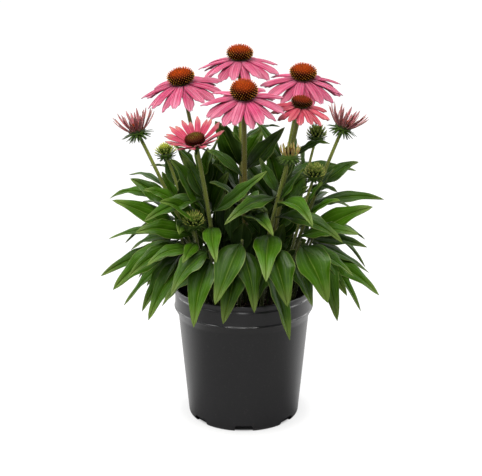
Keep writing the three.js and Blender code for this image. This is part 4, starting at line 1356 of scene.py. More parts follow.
# %% [markdown]
# ## Stems
# A stem rises from the soil on one smooth curve and tapers to its head. It is a tube with five
# shallow ribs, which catch the light as the real ridged stem does.

# %% A stem's shape
STEM_SIDES = 15
STEM_ROWS = 22
STEM_RIBS = 5
HOLE_DEPTH = 16
STEM_FOOT_GAP = 0.3
SHOOT_RADIUS = (2.4, 1.4)
SHOOT_LEAN = 0.4
SHOOT_LEAVES_BROADER = 1.1


def stem_curve(row):
    """A row's three guiding points: the foot in the soil, the middle and the top."""
    foot = np.array([*row["base"], SOIL_TOP], float)
    end = np.array(row["head"] if "head" in row else row["top"], float)
    middle = foot + (end - foot) * row.get("lean", SHOOT_LEAN)
    middle[2] = (foot[2] + end[2]) / 2
    return foot, middle, end


def stem_skin(row, flush):
    """A row's stem as a tube, with its foot going on straight into the soil."""
    low_radius, high_radius = row.get("radius", SHOOT_RADIUS)
    t = np.linspace(0, 1, STEM_ROWS)
    centres, alongs = bend(*stem_curve(row), t)
    depth = HOLE_DEPTH - STEM_FOOT_GAP
    centres = np.concatenate([[centres[0] - alongs[0] * depth], centres])
    alongs = np.concatenate([[alongs[0]], alongs])
    radii = np.concatenate([[low_radius], low_radius + (high_radius - low_radius) * t])
    return tube(centres, alongs, radii, STEM_SIDES, STEM_RIBS, finish=0, tone=0.5, flush=flush)


def leaves_on(row, leaves, seed, broader=1.0):
    """The leaves of one stem, each rooted on its curve."""
    curve = stem_curve(row)
    height = curve[2][2] - SOIL_TOP
    skins = []
    for i, each in enumerate(leaves):
        root = bend(*curve, [each["at"] / height])[0][0]
        wider = dict(each, wide=each["wide"] * broader)
        skins.append(leaf_piece(root, wider, seed * 100 + i))
    return skins


GREENS = [STEM_SKIN, LEAF_UPPER, LEAF_UNDER, BRACT_GREEN, BRACT_YOUNG]
print("stem sides:", STEM_SIDES, " rows:", STEM_ROWS)

# %% [markdown]
# ## Heads
# A head is built in its own frame, with the cone along Z, and then tilted onto its stem. The rays
# leave one ring in two layers and bend as they go. Their tips end in a few blunt teeth, and long
# grooves run from root to tip. Each kind of head is a row of sizes, from bloom to bud.

# %% The kinds of head
# Rays and bracts: count, length, width, slope at the root and at the tip in degrees. Cone: widest
# radius, height and spine length. seat is the ring's radius as a share of the cone's. roll is how
# far a ray may turn over, and ring_shade goes from 0, a pale ring, to 1, a dark one.
USUAL = dict(rays=None, inner_rays=False, outline="long", ray_slot="pink_rays", roll=24,
             grooves=0.5, ring_shade=1.0, bract_rows=1, cone_slot="orange_cone")
HEADS = {
    "bloom": dict(
        USUAL, rays=(18, 43, 13, -2, -35), ray_look="pink", cone=(15.5, 18, 2.6), seat=0.62,
        florets=260, cone_look="orange", bracts=(5, 14, 3.4, -20, -20),
    ),
    "broad": dict(
        USUAL, rays=(18, 45, 13, -4, -39), ray_look="pink", cone=(16, 15, 2.6), seat=0.6,
        florets=250, cone_look="orange", bracts=(5, 14, 3.4, -20, -20),
    ),
    "young": dict(
        USUAL, rays=(16, 31, 9, -6, -36), ray_look="coral", ray_slot="salmon_rays",
        cone=(12.4, 9.5, 2), seat=0.66, florets=200, cone_look="red_brown",
        bracts=(5, 12, 3.4, -20, -20),
    ),
    "fresh": dict(
        USUAL, rays=(22, 28, 7.0, 31, 27), outline="short", ray_look="salmon",
        ray_slot="salmon_rays", grooves=0.2, cone=(11.5, 8, 1.6), seat=0.98, florets=210,
        cone_look="dark_disc", bracts=(8, 11, 3.4, -16, -16),
    ),
    "opening": dict(
        USUAL, rays=(22, 26, 3.1, 43, 60), outline="short", ray_look="dusky", inner_rays=True,
        grooves=0.2, cone=(8, 6, 1.4), seat=1.25, florets=110, cone_look="red_brown",
        bracts=(12, 14, 3.0, -4, -14), bract_rows=3,
    ),
    "half_open": dict(
        USUAL, rays=(18, 12.5, 1.9, 64, 84), outline="stub", ray_look="yellow",
        ray_slot="yellow_rays", roll=10, grooves=0.2, ring_shade=0.0, cone=(6, 6, 1.8),
        seat=1.55, florets=90, cone_look="shaded", cone_slot="bud_disc",
        bracts=(14, 12, 3.4, 0, -10), bract_rows=3,
    ),
    "bud": dict(
        USUAL, cone=(8.2, 11.5, 2.6), seat=0.9, florets=110, cone_look="bud",
        cone_slot="bud_disc", bracts=(10, 10, 3.2, 8, 26), bract_rows=3,
    ),
}
print("kinds of head:", ", ".join(HEADS))

# %% Tongues, which bend as they go
# Outlines: width at the root, place where it is full, place where it narrows, width at the tip.
OUTLINES = {
    "long": (0.42, 0.42, 0.72, 0.56),
    "short": (0.4, 0.55, 0.6, 0.42),
    "stub": (0.7, 0.3, 0.4, 0.5),
    "bract": (0.75, 0.3, 0.3, 0.05),
}
TEETH = (0.15, 0.06, 0.015, 0.055, 0.0, 0.055, 0.015, 0.06, 0.15)
TEETH_FROM = 0.78
TONGUE_ROWS = 14
RAY_THICK = 0.55
RAY_DISH = 0.16
DRIFT = 0.05


def outline_width(kind, u):
    """A tongue's width at u along it, as a share of its widest."""
    root, full, narrows, tip = OUTLINES[kind]
    opened = np.clip(u / full, 0, 1)
    narrowed = past(u, narrows) ** 2.4
    return (root + (1 - root) * np.sin(opened * math.pi / 2)) * (1 - (1 - tip) * narrowed)


def tongue(bearing, sizes, root, outline, luck, grooves, roll=6, rows=TONGUE_ROWS,
           dish=RAY_DISH, teeth=TEETH, thick=RAY_THICK, **looks):
    """A tongue that leaves the head's axis at a bearing. root is its radius and height."""
    length, width, root_slope, tip_slope = sizes
    out = np.array([math.cos(bearing), math.sin(bearing), 0.0])
    across = np.array([-math.sin(bearing), math.cos(bearing), 0.0])
    u = np.linspace(0, 1, rows)
    slopes = np.radians(root_slope + (tip_slope - root_slope) * u)
    between = (slopes[1:] + slopes[:-1]) / 2
    step = length / (rows - 1)
    flat = np.concatenate([[0], np.cumsum(np.cos(between) * step)]) + root[0]
    high = np.concatenate([[0], np.cumsum(np.sin(between) * step)]) + root[1]
    drift = luck.uniform(-DRIFT, DRIFT) * length
    rib = np.outer(flat, out) + np.outer(high, UP) + np.outer(drift * u ** 2, across)
    alongs = np.outer(np.cos(slopes), out) + np.outer(np.sin(slopes), UP)
    rolled = np.radians(luck.uniform(-roll, roll)) * u
    sides = turned_about(np.tile(across, (rows, 1)), alongs, rolled)
    normals = np.cross(alongs, sides)
    # The section is a dish with ridges that weaken towards the edge and start at the root.
    v = np.linspace(-1, 1, len(teeth))
    share = outline_width(outline, u)
    lift = -dish * width * v ** 2 * 0.5 + grooves * np.cos(3 * math.pi * v) * (1 - 0.4 * v ** 2)
    strength = np.minimum(1, share * 1.1) * np.clip(u * 4, 0.3, 1)
    shift = np.outer(past(u, TEETH_FROM) ** 1.5, np.array(teeth)) * length
    top = (rib[:, None, :]
           + sides[:, None, :] * np.outer(width / 2 * share, v)[..., None]
           + normals[:, None, :] * np.outer(strength, lift)[..., None]
           - alongs[:, None, :] * shift[..., None])
    return blade(top, normals[:, None, :], thick, map_of(v, u), tone=luck.uniform(0, 1),
                 flush=0.0, **looks)


print("points across a ray:", len(TEETH))

# %% The ring and its rays
RING_THICK = 2.4
RING_HOLE = 0.6  # of the ring's radius
RING_SIDES = 32
RING_LOW = 0.12  # heights of the two layers of rays, as shares of the ring's
RING_HIGH = 0.62
FANNED = 3  # degrees between each layer's root and the middle
CURLED = 5
WAVERS = 4
UNEVEN = 0.05
SLOPE_LUCK = 3
WIDTH_LUCK = (0.92, 1.06)
INNER_LENGTH = (0.62, 0.86)  # of the outer rays' length
INNER_WIDTH = 0.85
INNER_SLOPES = (66, 80)
INNER_SET_OUT = 0.4  # millimetres outside the ring's hole
INNER_GROOVES = 0.1


def ring_skin(outer, inner, shade):
    """The flat ring that carries the rays. shade is its place on the bract finish's map."""
    corners = [(inner, 0), (outer, 0), (outer, RING_THICK), (inner, RING_THICK)]
    circle = circle_of(RING_SIDES)
    points = np.concatenate([circle * radius + UP * height for radius, height in corners])
    coords = np.tile([0.5, shade], (len(points), 1))
    return skin(points, ring_faces(len(corners), RING_SIDES, looped=True), coords, finish=2,
                tone=0.3, flush=0.0)


def ray_skins(style, luck):
    """The rays of a head, in a lower and an upper layer, on their ring."""
    count, length, width, root_slope, tip_slope = style["rays"]
    outer = style["cone"][0] * style["seat"]
    inner = outer * RING_HOLE
    skins = [ring_skin(outer, inner, style["ring_shade"])]
    # Sines of a ray's number, each at its own pace, keep the ring from looking machined.
    for i in range(count):
        upper = i % 2
        bearing = i / count * FULL_TURN + UNEVEN * math.sin(i * 2.4)
        slope = tip_slope + (CURLED if upper else -CURLED) + WAVERS * math.sin(i * 1.7)
        sizes = (
            length * (1 + UNEVEN * math.sin(i * 3.1)),
            width * luck.uniform(*WIDTH_LUCK),
            root_slope + (FANNED if upper else -FANNED),
            slope + luck.uniform(-SLOPE_LUCK, SLOPE_LUCK),
        )
        if style["inner_rays"] and upper:
            inner_sizes = (length * luck.uniform(*INNER_LENGTH), width * INNER_WIDTH,
                           *INNER_SLOPES)
            inner_root = (inner + INNER_SET_OUT, RING_THICK * 0.5)
            skins.append(tongue(bearing + math.pi / count, inner_sizes, inner_root,
                                style["outline"], luck, INNER_GROOVES, finish=0, back=1))
        root = ((inner + outer) / 2, RING_THICK * (RING_HIGH if upper else RING_LOW))
        skins.append(tongue(bearing, sizes, root, style["outline"], luck, style["grooves"],
                            style["roll"], finish=0, back=1))
    return skins


print("rays on a bloom:", len(ray_skins(HEADS["bloom"], random.Random(1))) - 1)

# %% [markdown]
# The receptacle is the green cup under the head. It flares from the stem, goes up through the rays
# as a peg, and wears pointed bracts. A small head shows little but its bracts, so they stand in
# more rows there, and on a green bud paler young bracts still close over the disc.

# %% Receptacle and bracts
CUP_DEPTH = 0.8  # of the cup's radius
CUP_SIDES = 28
CUP_EDGE = 1.6
SLEEVE = (1.15, 0.8)  # shares of the stem's radius and of the depth
WAIST = (0.62, 0.42)  # shares of the cup's radius and of the depth
SHOULDER = (0.93, 1.6)  # shares of the cup's radius and of its edge
PEG_GAP = 0.3
BRACT_ROOT = 0.6
BRACT_HEIGHT = 0.3
LAYER_DROOP = 26
LAYER_SHORTER = 0.16
LAYER_NARROWER = 0.1
LAYER_LOWER = 0.14
BRACT_WIDTH = 0.8
TIP_DROOP = 0.7  # of the layer's droop
BEND_LUCK = (-8, 14)
LENGTH_LUCK = (0.9, 1.05)
BRACT_LOOKS = dict(grooves=0.0, teeth=(0.05, 0.01, 0.0, 0.01, 0.05))
# The rows that close over a young bud: share of the radius and of the height, and slope.
CLOSING = ((1.0, 0.12, 38), (1.02, 0.34, 52), (0.92, 0.62, 64), (0.6, 0.86, 74))
CLOSING_COUNT = 13
CLOSING_LENGTH = 6.5
CLOSING_WIDTH = 2.2
CLOSING_CURL = (-12, 8)  # added to the slope at the root and at the tip
CLOSING_LENGTH_LUCK = (0.8, 1.1)
CLOSING_STRAY = 0.1


def turned_skin(profile, sides, **looks):
    """A closed solid of revolution; the profile starts and ends on the axis."""
    circle = circle_of(sides)
    rings = profile[1:-1]
    points = [circle * radius + UP * height for radius, height in rings]
    points.append(np.array([[0, 0, profile[0][1]], [0, 0, profile[-1][1]]], float))
    low = len(rings) * sides
    faces = [tuple(reversed(face)) for face in fan_faces(0, sides, low)]
    faces += ring_faces(len(rings), sides)
    faces += fan_faces(low - sides, sides, low + 1)
    stacked = np.concatenate(points)
    return skin(stacked, faces, np.zeros((len(stacked), 2)), tone=0.5, flush=0.1, **looks)


def cup_skin(style, stem_radius, wide, depth):
    """The cup, with a peg through the ring if the head has rays."""
    profile = [(0, -depth), (stem_radius, -depth), (stem_radius * SLEEVE[0], -depth * SLEEVE[1]),
               (wide * WAIST[0], -depth * WAIST[1]),
               (wide * SHOULDER[0], -CUP_EDGE * SHOULDER[1]), (wide, -CUP_EDGE)]
    if style["rays"]:
        peg = wide * RING_HOLE - PEG_GAP
        profile += [(wide, -PEG_GAP), (peg, -PEG_GAP), (peg, RING_THICK), (0, RING_THICK)]
    else:
        profile += [(wide, 0), (0, 0)]
    return turned_skin(profile, CUP_SIDES, finish=3)


def receptacle_skins(style, stem_radius, luck, closed=0):
    """The cup and its bracts, in the head's frame. closed counts the closing rows."""
    wide = style["cone"][0] * style["seat"]
    depth = wide * CUP_DEPTH
    skins = [cup_skin(style, stem_radius, wide, depth)]
    count, length, width, root_slope, tip_slope = style["bracts"]
    for layer in range(style["bract_rows"]):
        droop = layer * LAYER_DROOP
        root = (wide * BRACT_ROOT * (1 - LAYER_NARROWER * layer),
                -depth * (BRACT_HEIGHT + LAYER_LOWER * layer))
        for i in range(count):
            bearing = (i + layer * 0.5) / count * FULL_TURN
            bend_up = luck.uniform(*BEND_LUCK)
            reach = length * (1 - LAYER_SHORTER * layer) * luck.uniform(*LENGTH_LUCK)
            sizes = (reach, width * BRACT_WIDTH, root_slope - droop,
                     tip_slope - droop * TIP_DROOP + bend_up)
            skins.append(tongue(bearing, sizes, root, "bract", luck, rows=7, dish=-0.25, roll=10,
                                thick=0.5, finish=3, **BRACT_LOOKS))
    radius, tall, _ = style["cone"]
    for layer, (share, height, slope) in enumerate(CLOSING[:closed]):
        root = (radius * share, tall * height)
        for i in range(CLOSING_COUNT):
            bearing = (i + layer * 0.5) / CLOSING_COUNT * FULL_TURN
            bearing += luck.uniform(-CLOSING_STRAY, CLOSING_STRAY)
            reach = CLOSING_LENGTH * luck.uniform(*CLOSING_LENGTH_LUCK)
            sizes = (reach, CLOSING_WIDTH, slope + CLOSING_CURL[0], slope + CLOSING_CURL[1])
            skins.append(tongue(bearing, sizes, root, "bract", luck, rows=6, dish=-0.2, roll=14,
                                thick=0.45, finish=4, **BRACT_LOOKS))
    return skins


print("bracts under a bud:", HEADS["bud"]["bracts"][0] * HEADS["bud"]["bract_rows"])

# %% [markdown]
# The cone's spines follow a rule that many flowers share: each new floret turns by the golden
# angle, so that the spirals never line up. Geometry Nodes are made for this. The tree puts a point
# for each floret on the dome, turns a spine outwards on it, and notes how high it stands, so that
# the finish can colour it. A spine has a dark flank and a bright end, where it narrows to its
# point.

# %% The tree of the cone's spines
GOLDEN_ANGLE = math.pi * (3 - math.sqrt(5))
BELLY = 0.4  # the share of the cone's height that lies under its widest place
LOWEST = -0.62  # the dome's foot, where its crown is 1 and its widest place 0
SPAN = 1 - LOWEST


def vector_of(tree, x, y, z):
    """Three values as a vector socket."""
    return place(tree, "ShaderNodeCombineXYZ", {"X": x, "Y": y, "Z": z}).outputs[0]


def noted(tree, points, name, value, kind):
    """The points with a value of their own."""
    store = place(tree, "GeometryNodeStoreNamedAttribute", {"Geometry": points, "Name": name},
                  data_type=kind, domain="POINT")
    tree.links.new(value, next(s for s in store.inputs if s.name == "Value" and s.enabled))
    return store.outputs[0]


def turned_to(tree, way):
    """The rotation that turns a shape's Z axis that way."""
    turned = place(tree, "FunctionNodeAlignRotationToVector", {"Vector": way}, axis="Z")
    return turned.outputs[0]


def make_phyllotaxis():
    """Spines on a dome, floret by floret, at the golden angle."""
    tree, start, end = repeating_tree("golden-angle spines", Florets=200, Radius=0.015,
                                      Height=0.018, Lift=0.0, Upturn=0.4, Uneven=0.15)
    radius = start["Radius"]
    index = place(tree, "GeometryNodeInputIndex").outputs[0]
    part = sums(tree, "DIVIDE", plus(tree, index, 0.5), start["Florets"])
    z = minus(tree, 1.0, times(tree, part, SPAN))
    ring = sums(tree, "SQRT", minus(tree, 1.0, times(tree, z, z)))
    angle = times(tree, index, GOLDEN_ANGLE)
    x = times(tree, ring, sums(tree, "COSINE", angle))
    y = times(tree, ring, sums(tree, "SINE", angle))
    above = sums(tree, "GREATER_THAN", z, 0.0)
    low_share = BELLY / -LOWEST
    share = sums(tree, "MULTIPLY_ADD", above, (1 - BELLY) - low_share, low_share)
    tall = times(tree, share, start["Height"])
    where = vector_of(tree, times(tree, x, radius), times(tree, y, radius),
                      plus(tree, times(tree, z, tall), start["Lift"]))
    points = place(tree, "GeometryNodePoints", {"Count": start["Florets"], "Position": where})
    upturn = sums(tree, "DIVIDE", start["Upturn"], radius)
    outward = vector_of(tree, sums(tree, "DIVIDE", x, radius), sums(tree, "DIVIDE", y, radius),
                        plus(tree, sums(tree, "DIVIDE", z, tall), upturn))
    rise = sums(tree, "DIVIDE", minus(tree, z, LOWEST), SPAN)
    risen = noted(tree, points.outputs[0], "rise", rise, "FLOAT")
    faced = noted(tree, risen, "outward", outward, "FLOAT_VECTOR")
    read = place(tree, "GeometryNodeInputNamedAttribute", {"Name": "outward"},
                 data_type="FLOAT_VECTOR")
    sizes = (minus(tree, 1.0, start["Uneven"]), plus(tree, 1.0, start["Uneven"]))
    return repeat(tree, start, end, faced, turned_to(tree, read.outputs[0]), sizes,
                  start["Geometry"])


SPINES = make_phyllotaxis()
print("tree made:", SPINES.name)

# %% A cone: its dome, then its spines
SPINE_SIDES = 5
# Each level of a spine: its height, its width and how near its point it counts, as shares.
SPINE_LEVELS = ((0.0, 0.8, 0.0), (0.5, 0.72, 0.25), (0.8, 0.7, 1.0), (1.0, 0.25, 1.0))
SPINE_ROOTED = 0.3  # the share of a spine that stands in the dome
SPINE_LONGER = 1.15
SPINE_WIDE = 0.6  # of the gap between two florets
DOME_SIDES = 40
DOME_ROWS = 14
DOME_CROWD = 0.85
DOME_INSET = 0.35  # of a spine's length
CONE_GAP = 0.3
UPTURN = 0.55
BUD_UPTURN = 0.25
SIZE_UNEVEN = 0.16


def spine_shape(length, width):
    """A stiff spine that narrows to its point, in metres, with its tip marked."""
    points = []
    tipward = []
    for height, wide, near_point in SPINE_LEVELS:
        level = (height - SPINE_ROOTED) * length
        circle = circle_of(SPINE_SIDES) * width / 2 * wide + UP * level
        points += (circle * MM).tolist()
        tipward += [near_point] * SPINE_SIDES
    faces = [tuple(reversed(range(SPINE_SIDES))), *ring_faces(len(SPINE_LEVELS), SPINE_SIDES),
             tuple(range(len(points) - SPINE_SIDES, len(points)))]
    return stray("spine", points, faces, tipward)


def dome_skin(radius, height, lift):
    """The dark dome between the spines, from its flat foot to its crown."""
    circle = circle_of(DOME_SIDES)
    points = []
    rises = []
    for k in range(DOME_ROWS):
        z = LOWEST + SPAN * (k / DOME_ROWS) ** DOME_CROWD
        tall = height * (1 - BELLY) if z > 0 else height * BELLY / -LOWEST
        points.append(circle * math.sqrt(1 - z * z) * radius + UP * (z * tall + lift))
        rises += [(z - LOWEST) / SPAN] * DOME_SIDES
    points.append(UP[None, :] * (height * (1 - BELLY) + lift))
    stacked = np.concatenate(points)
    crown = len(stacked) - 1
    faces = [tuple(reversed(range(DOME_SIDES))), *ring_faces(DOME_ROWS, DOME_SIDES),
             *fan_faces(crown - DOME_SIDES, DOME_SIDES, crown)]
    return skin(stacked, faces, np.zeros((len(stacked), 2)), rise=np.array([*rises, 1.0]),
                tipward=0.0)


def cone_piece(name, style, finish, head_frame, seed):
    """The cone of a head, spines and all, in its place in the plant."""
    radius, height, spine = style["cone"]
    # The foot rests just over the ring, or on the cup of a bud.
    foot = CONE_GAP + (RING_THICK if style["rays"] else 0)
    lift = foot + height * BELLY + spine * SPINE_ROOTED
    dome = grow(name, [dome_skin(radius - spine * DOME_INSET, height, lift)], [finish], sharp=60)
    gap = radius * math.sqrt(math.pi / style["florets"])
    run_tree(dome, SPINES, spine_shape(spine * SPINE_LONGER, gap * SPINE_WIDE), finish, seed,
             Florets=style["florets"], Radius=(radius - spine * SPINE_ROOTED) * MM,
             Height=height * MM, Lift=lift * MM, Uneven=SIZE_UNEVEN,
             Upturn=UPTURN if style["rays"] else BUD_UPTURN)
    dome.data.transform(head_frame)
    return dome


print("spine sides:", SPINE_SIDES)

# %% [markdown]
# ## The plant, stem by stem
# Each flowering stem gives up to three pieces: the green growth, the rays and the cone. Each shoot
# gives one. Every piece is settled on the node that it dresses.
# Late leaves fill the clump beside the left heads, where a real plant sends up its youngest ones.

# %% What single stems have of their own
# How many of the closing rows each bud still has. Over HALF_CLOSED, its disc is green too.
CLOSED_BUDS = {"bud_right": 4, "bud_right_low": 4, "bud_left_low": 4, "bud_left": 2}
HALF_CLOSED = 2
LATE_LEAVES = {
    "bud_left": [leaf(128, (-66, -58, 338), 24, 4, 50)],
    "flower_left_low": [
        leaf(120, (-84, -72, 344), 26, 6, 55), leaf(96, (-96, -96, 300), 26, 16, 40)],
}
STEM_FLUSH = {"flower_front": 0.9, "flower_left": 0.5, "flower_right_low": 0.6,
              "flower_back": 0.6}
USUAL_FLUSH = 0.1
SHOOT_FLUSH = 0.2
# Where each set of seeds starts. Each stem adds its own number.
HEAD_SEEDS = 11
STEM_LEAF_SEEDS = 1
SHOOT_LEAF_SEEDS = 31
print("late leaves:", sum(len(leaves) for leaves in LATE_LEAVES.values()))


# %% Grow the flowering stems
def head_matrix(head, tilt, scale=1.0):
    """The head's own frame: its origin on the receptacle's top, Z along the cone."""
    degrees, towards = tilt
    bearing = math.radians(towards)
    hinge = Vector((-math.sin(bearing), math.cos(bearing), 0))
    turned = Matrix.Rotation(math.radians(degrees), 4, hinge)
    return Matrix.Translation(Vector(head) * scale) @ turned


def moved(skins, matrix):
    """Skins taken from the head's frame to the plant's, in millimetres."""
    turn = np.array(matrix.to_3x3())
    shift = np.array(matrix.translation)
    for s in skins:
        s["points"] = s["points"] @ turn.T + shift
    return skins


for number, row in enumerate(STEMS):
    name = row["name"]
    style = HEADS[row["kind"]]
    luck = random.Random(number + HEAD_SEEDS)
    at_head = head_matrix(row["head"], row["tilt"])
    green = [stem_skin(row, STEM_FLUSH.get(name, USUAL_FLUSH))]
    leaves = row["leaves"] + LATE_LEAVES.get(name, [])
    green += leaves_on(row, leaves, number + STEM_LEAF_SEEDS)
    closed = CLOSED_BUDS.get(name, 0)
    green += moved(receptacle_skins(style, row["radius"][1], luck, closed), at_head)
    settle(grow(name + "_green", green, GREENS), name + "_stem")
    if style["rays"]:
        finishes = (*RAY_FINISHES[style["ray_look"]], BRACT_GREEN)
        rays = grow(name + "_petals", moved(ray_skins(style, luck), at_head), finishes)
        settle(rays, name + "_rays")
    cone_look = "closed" if closed > HALF_CLOSED else style["cone_look"]
    in_metres = head_matrix(row["head"], row["tilt"], MM)
    cone = cone_piece(name + "_spines", style, CONE_FINISHES[cone_look], in_metres, number)
    settle(cone, name + "_cone")
print("heads grown:", len(STEMS))

# %% Grow the leafy shoots
for number, row in enumerate(SHOOTS):
    green = [stem_skin(row, SHOOT_FLUSH)]
    green += leaves_on(row, row["leaves"], number + SHOOT_LEAF_SEEDS, SHOOT_LEAVES_BROADER)
    settle(grow(row["name"] + "_green", green, GREENS), row["name"])
print("shoots grown:", len(SHOOTS))

# %% [markdown]
# Coneflowers also send leaves straight up from the ground, each on a long thin stalk of its own.
# They stand inside the clump, in the shade of the outer leaves, so they are small, and their low
# tone darkens their colour as painted shade. Two tiers are enough: the golden angle spreads them
# evenly, and a little luck keeps them natural.

# %% Grow the leaves from the ground
BASAL_TIERS = [
    dict(count=26, foot=(12, 46), reach=(62, 98), top=(186, 236), arch=34, wide=24, stalk=0.5),
    dict(count=26, foot=(6, 34), reach=(26, 74), top=(232, 290), arch=14, wide=25, stalk=0.58),
]
BASAL_SEED = 9
BASAL_LEAF_SEEDS = 900
# A low tone: painted shade that darkens these inner leaves' colour.
BASAL_SHADED_TONE = 0.12
BASAL_WIDTH_LUCK = (0.75, 1.15)
BASAL_FACE = 30


def basal_leaves():
    """The skins of the leaves that rise from the soil, tier by tier."""
    luck = random.Random(BASAL_SEED)
    skins = []
    for tier in BASAL_TIERS:
        for _ in range(tier["count"]):
            bearing = len(skins) * GOLDEN_ANGLE
            way = np.array([math.cos(bearing), math.sin(bearing), 0.0])
            root = way * luck.uniform(*tier["foot"]) + UP * SOIL_TOP
            tip = way * luck.uniform(*tier["reach"]) + UP * luck.uniform(*tier["top"])
            wide = tier["wide"] * luck.uniform(*BASAL_WIDTH_LUCK)
            face = luck.uniform(-BASAL_FACE, BASAL_FACE)
            row = dict(tip=tip, wide=wide, arch=tier["arch"], face=face, stalk=tier["stalk"])
            skins.append(leaf_piece(root, row, BASAL_LEAF_SEEDS + len(skins), BASAL_SHADED_TONE))
    return skins


basal = grow("basal_leaves", basal_leaves(), GREENS)
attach(basal, "root")
print("leaves from the ground:", sum(tier["count"] for tier in BASAL_TIERS))

# %% [markdown]
# Coneflower stems are bristly. Geometry Nodes scatter short pale hairs over every stem, each on
# the surface, leaning at random from its normal and a little upwards. Thousands of hairs then
# take one small tree, and a fixed seed keeps them where they are.

# %% Stem hairs
HAIR_LONG = 1.5
HAIR_WIDE = 0.16
HAIR_ROOTED = 0.1
HAIRS_PER_SQUARE_METRE = 550000.0
STRAY_LOW = (-1, -1, -0.6)
STRAY_HIGH = (1, 1, 1.4)


def make_bristles():
    """Scatters copies of a hair over a surface and gives back the hairs alone."""
    tree, start, end = repeating_tree("scattered bristles", Density=1000.0, Lean=0.6,
                                      Smallest=0.5, Largest=1.0)
    points = place(tree, "GeometryNodeDistributePointsOnFaces", {
        "Mesh": start["Geometry"], "Density": start["Density"], "Seed": start["Seed"]})
    stray_by = place(tree, "FunctionNodeRandomValue",
                     {"Seed": start["Seed"], 0: STRAY_LOW, 1: STRAY_HIGH},
                     data_type="FLOAT_VECTOR")
    scaled = place(tree, "ShaderNodeVectorMath",
                   {0: stray_by.outputs[0], "Scale": start["Lean"]}, operation="SCALE")
    leaning = vectors(tree, "ADD", points.outputs["Normal"], scaled.outputs[0])[0]
    return repeat(tree, start, end, points.outputs["Points"], turned_to(tree, leaning),
                  (start["Smallest"], start["Largest"]))


hair_foot = circle_of(3) * HAIR_WIDE / 2 - UP * HAIR_ROOTED
hair_points = np.concatenate([hair_foot, [UP * HAIR_LONG]]) * MM
one_hair = stray("hair", hair_points.tolist(), [(2, 1, 0), (0, 1, 3), (1, 2, 3), (2, 0, 3)])
hairs = grow("stem_hairs", [stem_skin(row, 0.0) for row in STEMS + SHOOTS], [HAIR_PALE])
run_tree(hairs, make_bristles(), one_hair, HAIR_PALE, seed=8,
         Density=HAIRS_PER_SQUARE_METRE, Lean=0.5, Smallest=0.4, Largest=1.0)
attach(hairs, "root")
print("hair triangles:", len(hairs.data.polygons))

# %% [markdown]
# ## Studio
# A plain pale floor and soft light. The surround is bright behind and a little above, and dim on
# the viewer's side, as in a studio with a white wall behind the plant and a black curtain behind
# the camera. That keeps the gaps between the leaves deep. One wide lamp overhead does most of the
# work, a weak one in front fills, and two low ones draw bright bands down the pot's satin sides.
# The floor shines for the camera, so that it stays pale and bounces little light. Its shine fades
# under the pot and a little round its foot, which paints a soft contact shadow there, and the pot
# mirrors it at its sides and back but not in front.

# %% The floor
FLOOR_SIDE = 14.0
FLOOR_DROP = 0.0003  # metres under the pot
FLOOR_GREY = 0.14
FLOOR_GLOW = 0.97
SIDE_GLOW = 0.37
# The glow stops under the pot and fades a little round its foot: a painted contact shadow.
UNDER_POT = (0.057, 0.066)  # metres from the plant's axis
PAINTED_SHADOW_REACH = (0.065, 0.1)
PAINTED_SHADOW_DEPTH = 0.2
BESIDE_POT = (-0.45, 0.55)  # from the front, -1, to the back, 1

reach = FLOOR_SIDE / 2
floor_mesh = bpy.data.meshes.new("floor")
floor_mesh.from_pydata([(-reach, -reach, -FLOOR_DROP), (reach, -reach, -FLOOR_DROP),
                        (reach, reach, -FLOOR_DROP), (-reach, reach, -FLOOR_DROP)],
                       [], [(0, 1, 2, 3)])
paper, tree, shader = new_finish("studio paper", 0.95, specular=0.0)
shader.inputs["Base Color"].default_value = (FLOOR_GREY, FLOOR_GREY, FLOOR_GREY, 1)
shader.inputs["Emission Color"].default_value = (1, 1, 1, 1)
seen_by = place(tree, "ShaderNodeLightPath").outputs
spot = spot_of(tree)
away = vectors(tree, "LENGTH", spot)["Value"]
# Painted contact shadow: less glow under the pot and round its foot.
under_pot = times(tree, smooth_mask(tree, away, *UNDER_POT), 1 - PAINTED_SHADOW_DEPTH)
clear_of_painted_shadow = smooth_mask(tree, away, *PAINTED_SHADOW_REACH)
open_floor = sums(tree, "MULTIPLY_ADD", clear_of_painted_shadow, PAINTED_SHADOW_DEPTH, under_pot)
glow = times(tree, times(tree, seen_by["Is Camera Ray"], FLOOR_GLOW), open_floor)
way = parts_of(tree, vectors(tree, "NORMALIZE", spot)[0])
beside = smooth_mask(tree, way["Y"], *BESIDE_POT)
mirrored = times(tree, seen_by["Is Glossy Ray"], SIDE_GLOW)
glow = sums(tree, "MULTIPLY_ADD", mirrored, beside, glow)
tree.links.new(glow, shader.inputs["Emission Strength"])
floor_mesh.materials.append(paper)
shown("floor", floor_mesh)
print("floor side in metres:", FLOOR_SIDE)

# %% The lamps
MIDDLE = (0, 0, 0.3)
LOW = (0, 0, 0.1)
WARM = (1.0, 0.98, 0.94)
WHITE = (1, 1, 1)
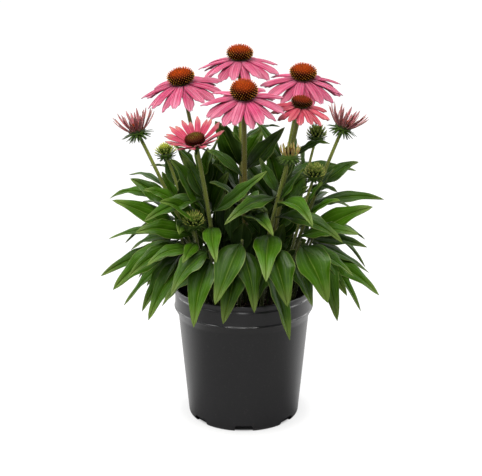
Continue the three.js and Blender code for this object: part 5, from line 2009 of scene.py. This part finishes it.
# Each row is the name, where it hangs and faces, height in metres, width to height, watts, colour.
LAMPS = [
    ("key", (-0.25, -0.75, 2.1), MIDDLE, 0.9, 2.4, 67, WARM),
    ("fill", (-1.3, -0.9, 1.5), MIDDLE, 0.8, 1.0, 4, WHITE),
    ("front", (-0.4, -1.9, 1.0), MIDDLE, 1.0, 1.0, 9, WHITE),
    ("left side", (-1.35, 0.3, 0.25), LOW, 1.2, 1.0, 9, WHITE),
    ("right side", (1.35, 0.3, 0.25), LOW, 1.2, 1.0, 9, WHITE),
]
for name, hung_at, faces_to, high, wide, watts, colour in LAMPS:
    light = bpy.data.lights.new(name, "AREA")
    light.shape = "RECTANGLE"
    light.size = high * wide
    light.size_y = high
    light.energy = watts
    light.color = colour
    lamp = shown(name, light)
    lamp.location = hung_at
    lamp.rotation_euler = (Vector(faces_to) - Vector(hung_at)).to_track_quat("-Z", "Y").to_euler()
print("lamps:", len(LAMPS))

# %% The surround
FRONT_LIGHT = 0.01
BACK_LIGHT = 1.2
TOP_LIGHT = 0.2


def make_surround():
    """White for the camera; for light, bright above and behind and dim in front."""
    world = bpy.data.worlds.new("studio surround")
    world.use_nodes = True
    tree = world.node_tree
    background = tree.nodes["Background"]
    way = parts_of(tree, place(tree, "ShaderNodeTexCoord").outputs["Generated"])
    behind = smooth_mask(tree, way["Y"], -0.1, 0.9)
    above = smooth_mask(tree, way["Z"], 0.3, 1.0)
    lit = plus(tree, sums(tree, "MULTIPLY_ADD", behind, BACK_LIGHT, FRONT_LIGHT),
               times(tree, above, TOP_LIGHT))
    seen = place(tree, "ShaderNodeLightPath").outputs["Is Camera Ray"]
    strength = place(tree, "ShaderNodeMix", {0: seen, 2: lit, 3: 1.0}, data_type="FLOAT")
    background.inputs["Color"].default_value = (1, 1, 1, 1)
    tree.links.new(strength.outputs[0], background.inputs["Strength"])
    return world


bpy.context.scene.world = make_surround()
bpy.context.scene.view_settings.view_transform = "Standard"
print("light from behind, against the front:", BACK_LIGHT / FRONT_LIGHT)

# %% Camera
SENSOR_WIDTH = 36  # millimetres, as the lens
LENS = 110.7
SEES_TO = 50
CAMERA_AT = (-0.0033, -1.713, 0.773)
CAMERA_TIPPED = 72.3  # degrees up from straight down

view = bpy.data.cameras.new("view")
view.sensor_width = SENSOR_WIDTH
view.lens = LENS
view.clip_end = SEES_TO
camera = shown("camera", view)
camera.location = CAMERA_AT
camera.rotation_euler = (math.radians(CAMERA_TIPPED), 0, 0)
bpy.context.scene.camera = camera
print("camera:", tuple(round(c, 3) for c in camera.location))

# %% [markdown]
# ## Measure and finish
# The triangles that are shown are counted.

# %% Count the shown triangles and finish
bpy.context.view_layer.update()
triangles = sum(len(p.vertices) - 2 for o in bpy.data.objects
                if o.type == "MESH" and not o.hide_render for p in o.data.polygons)
print("triangles shown:", triangles)
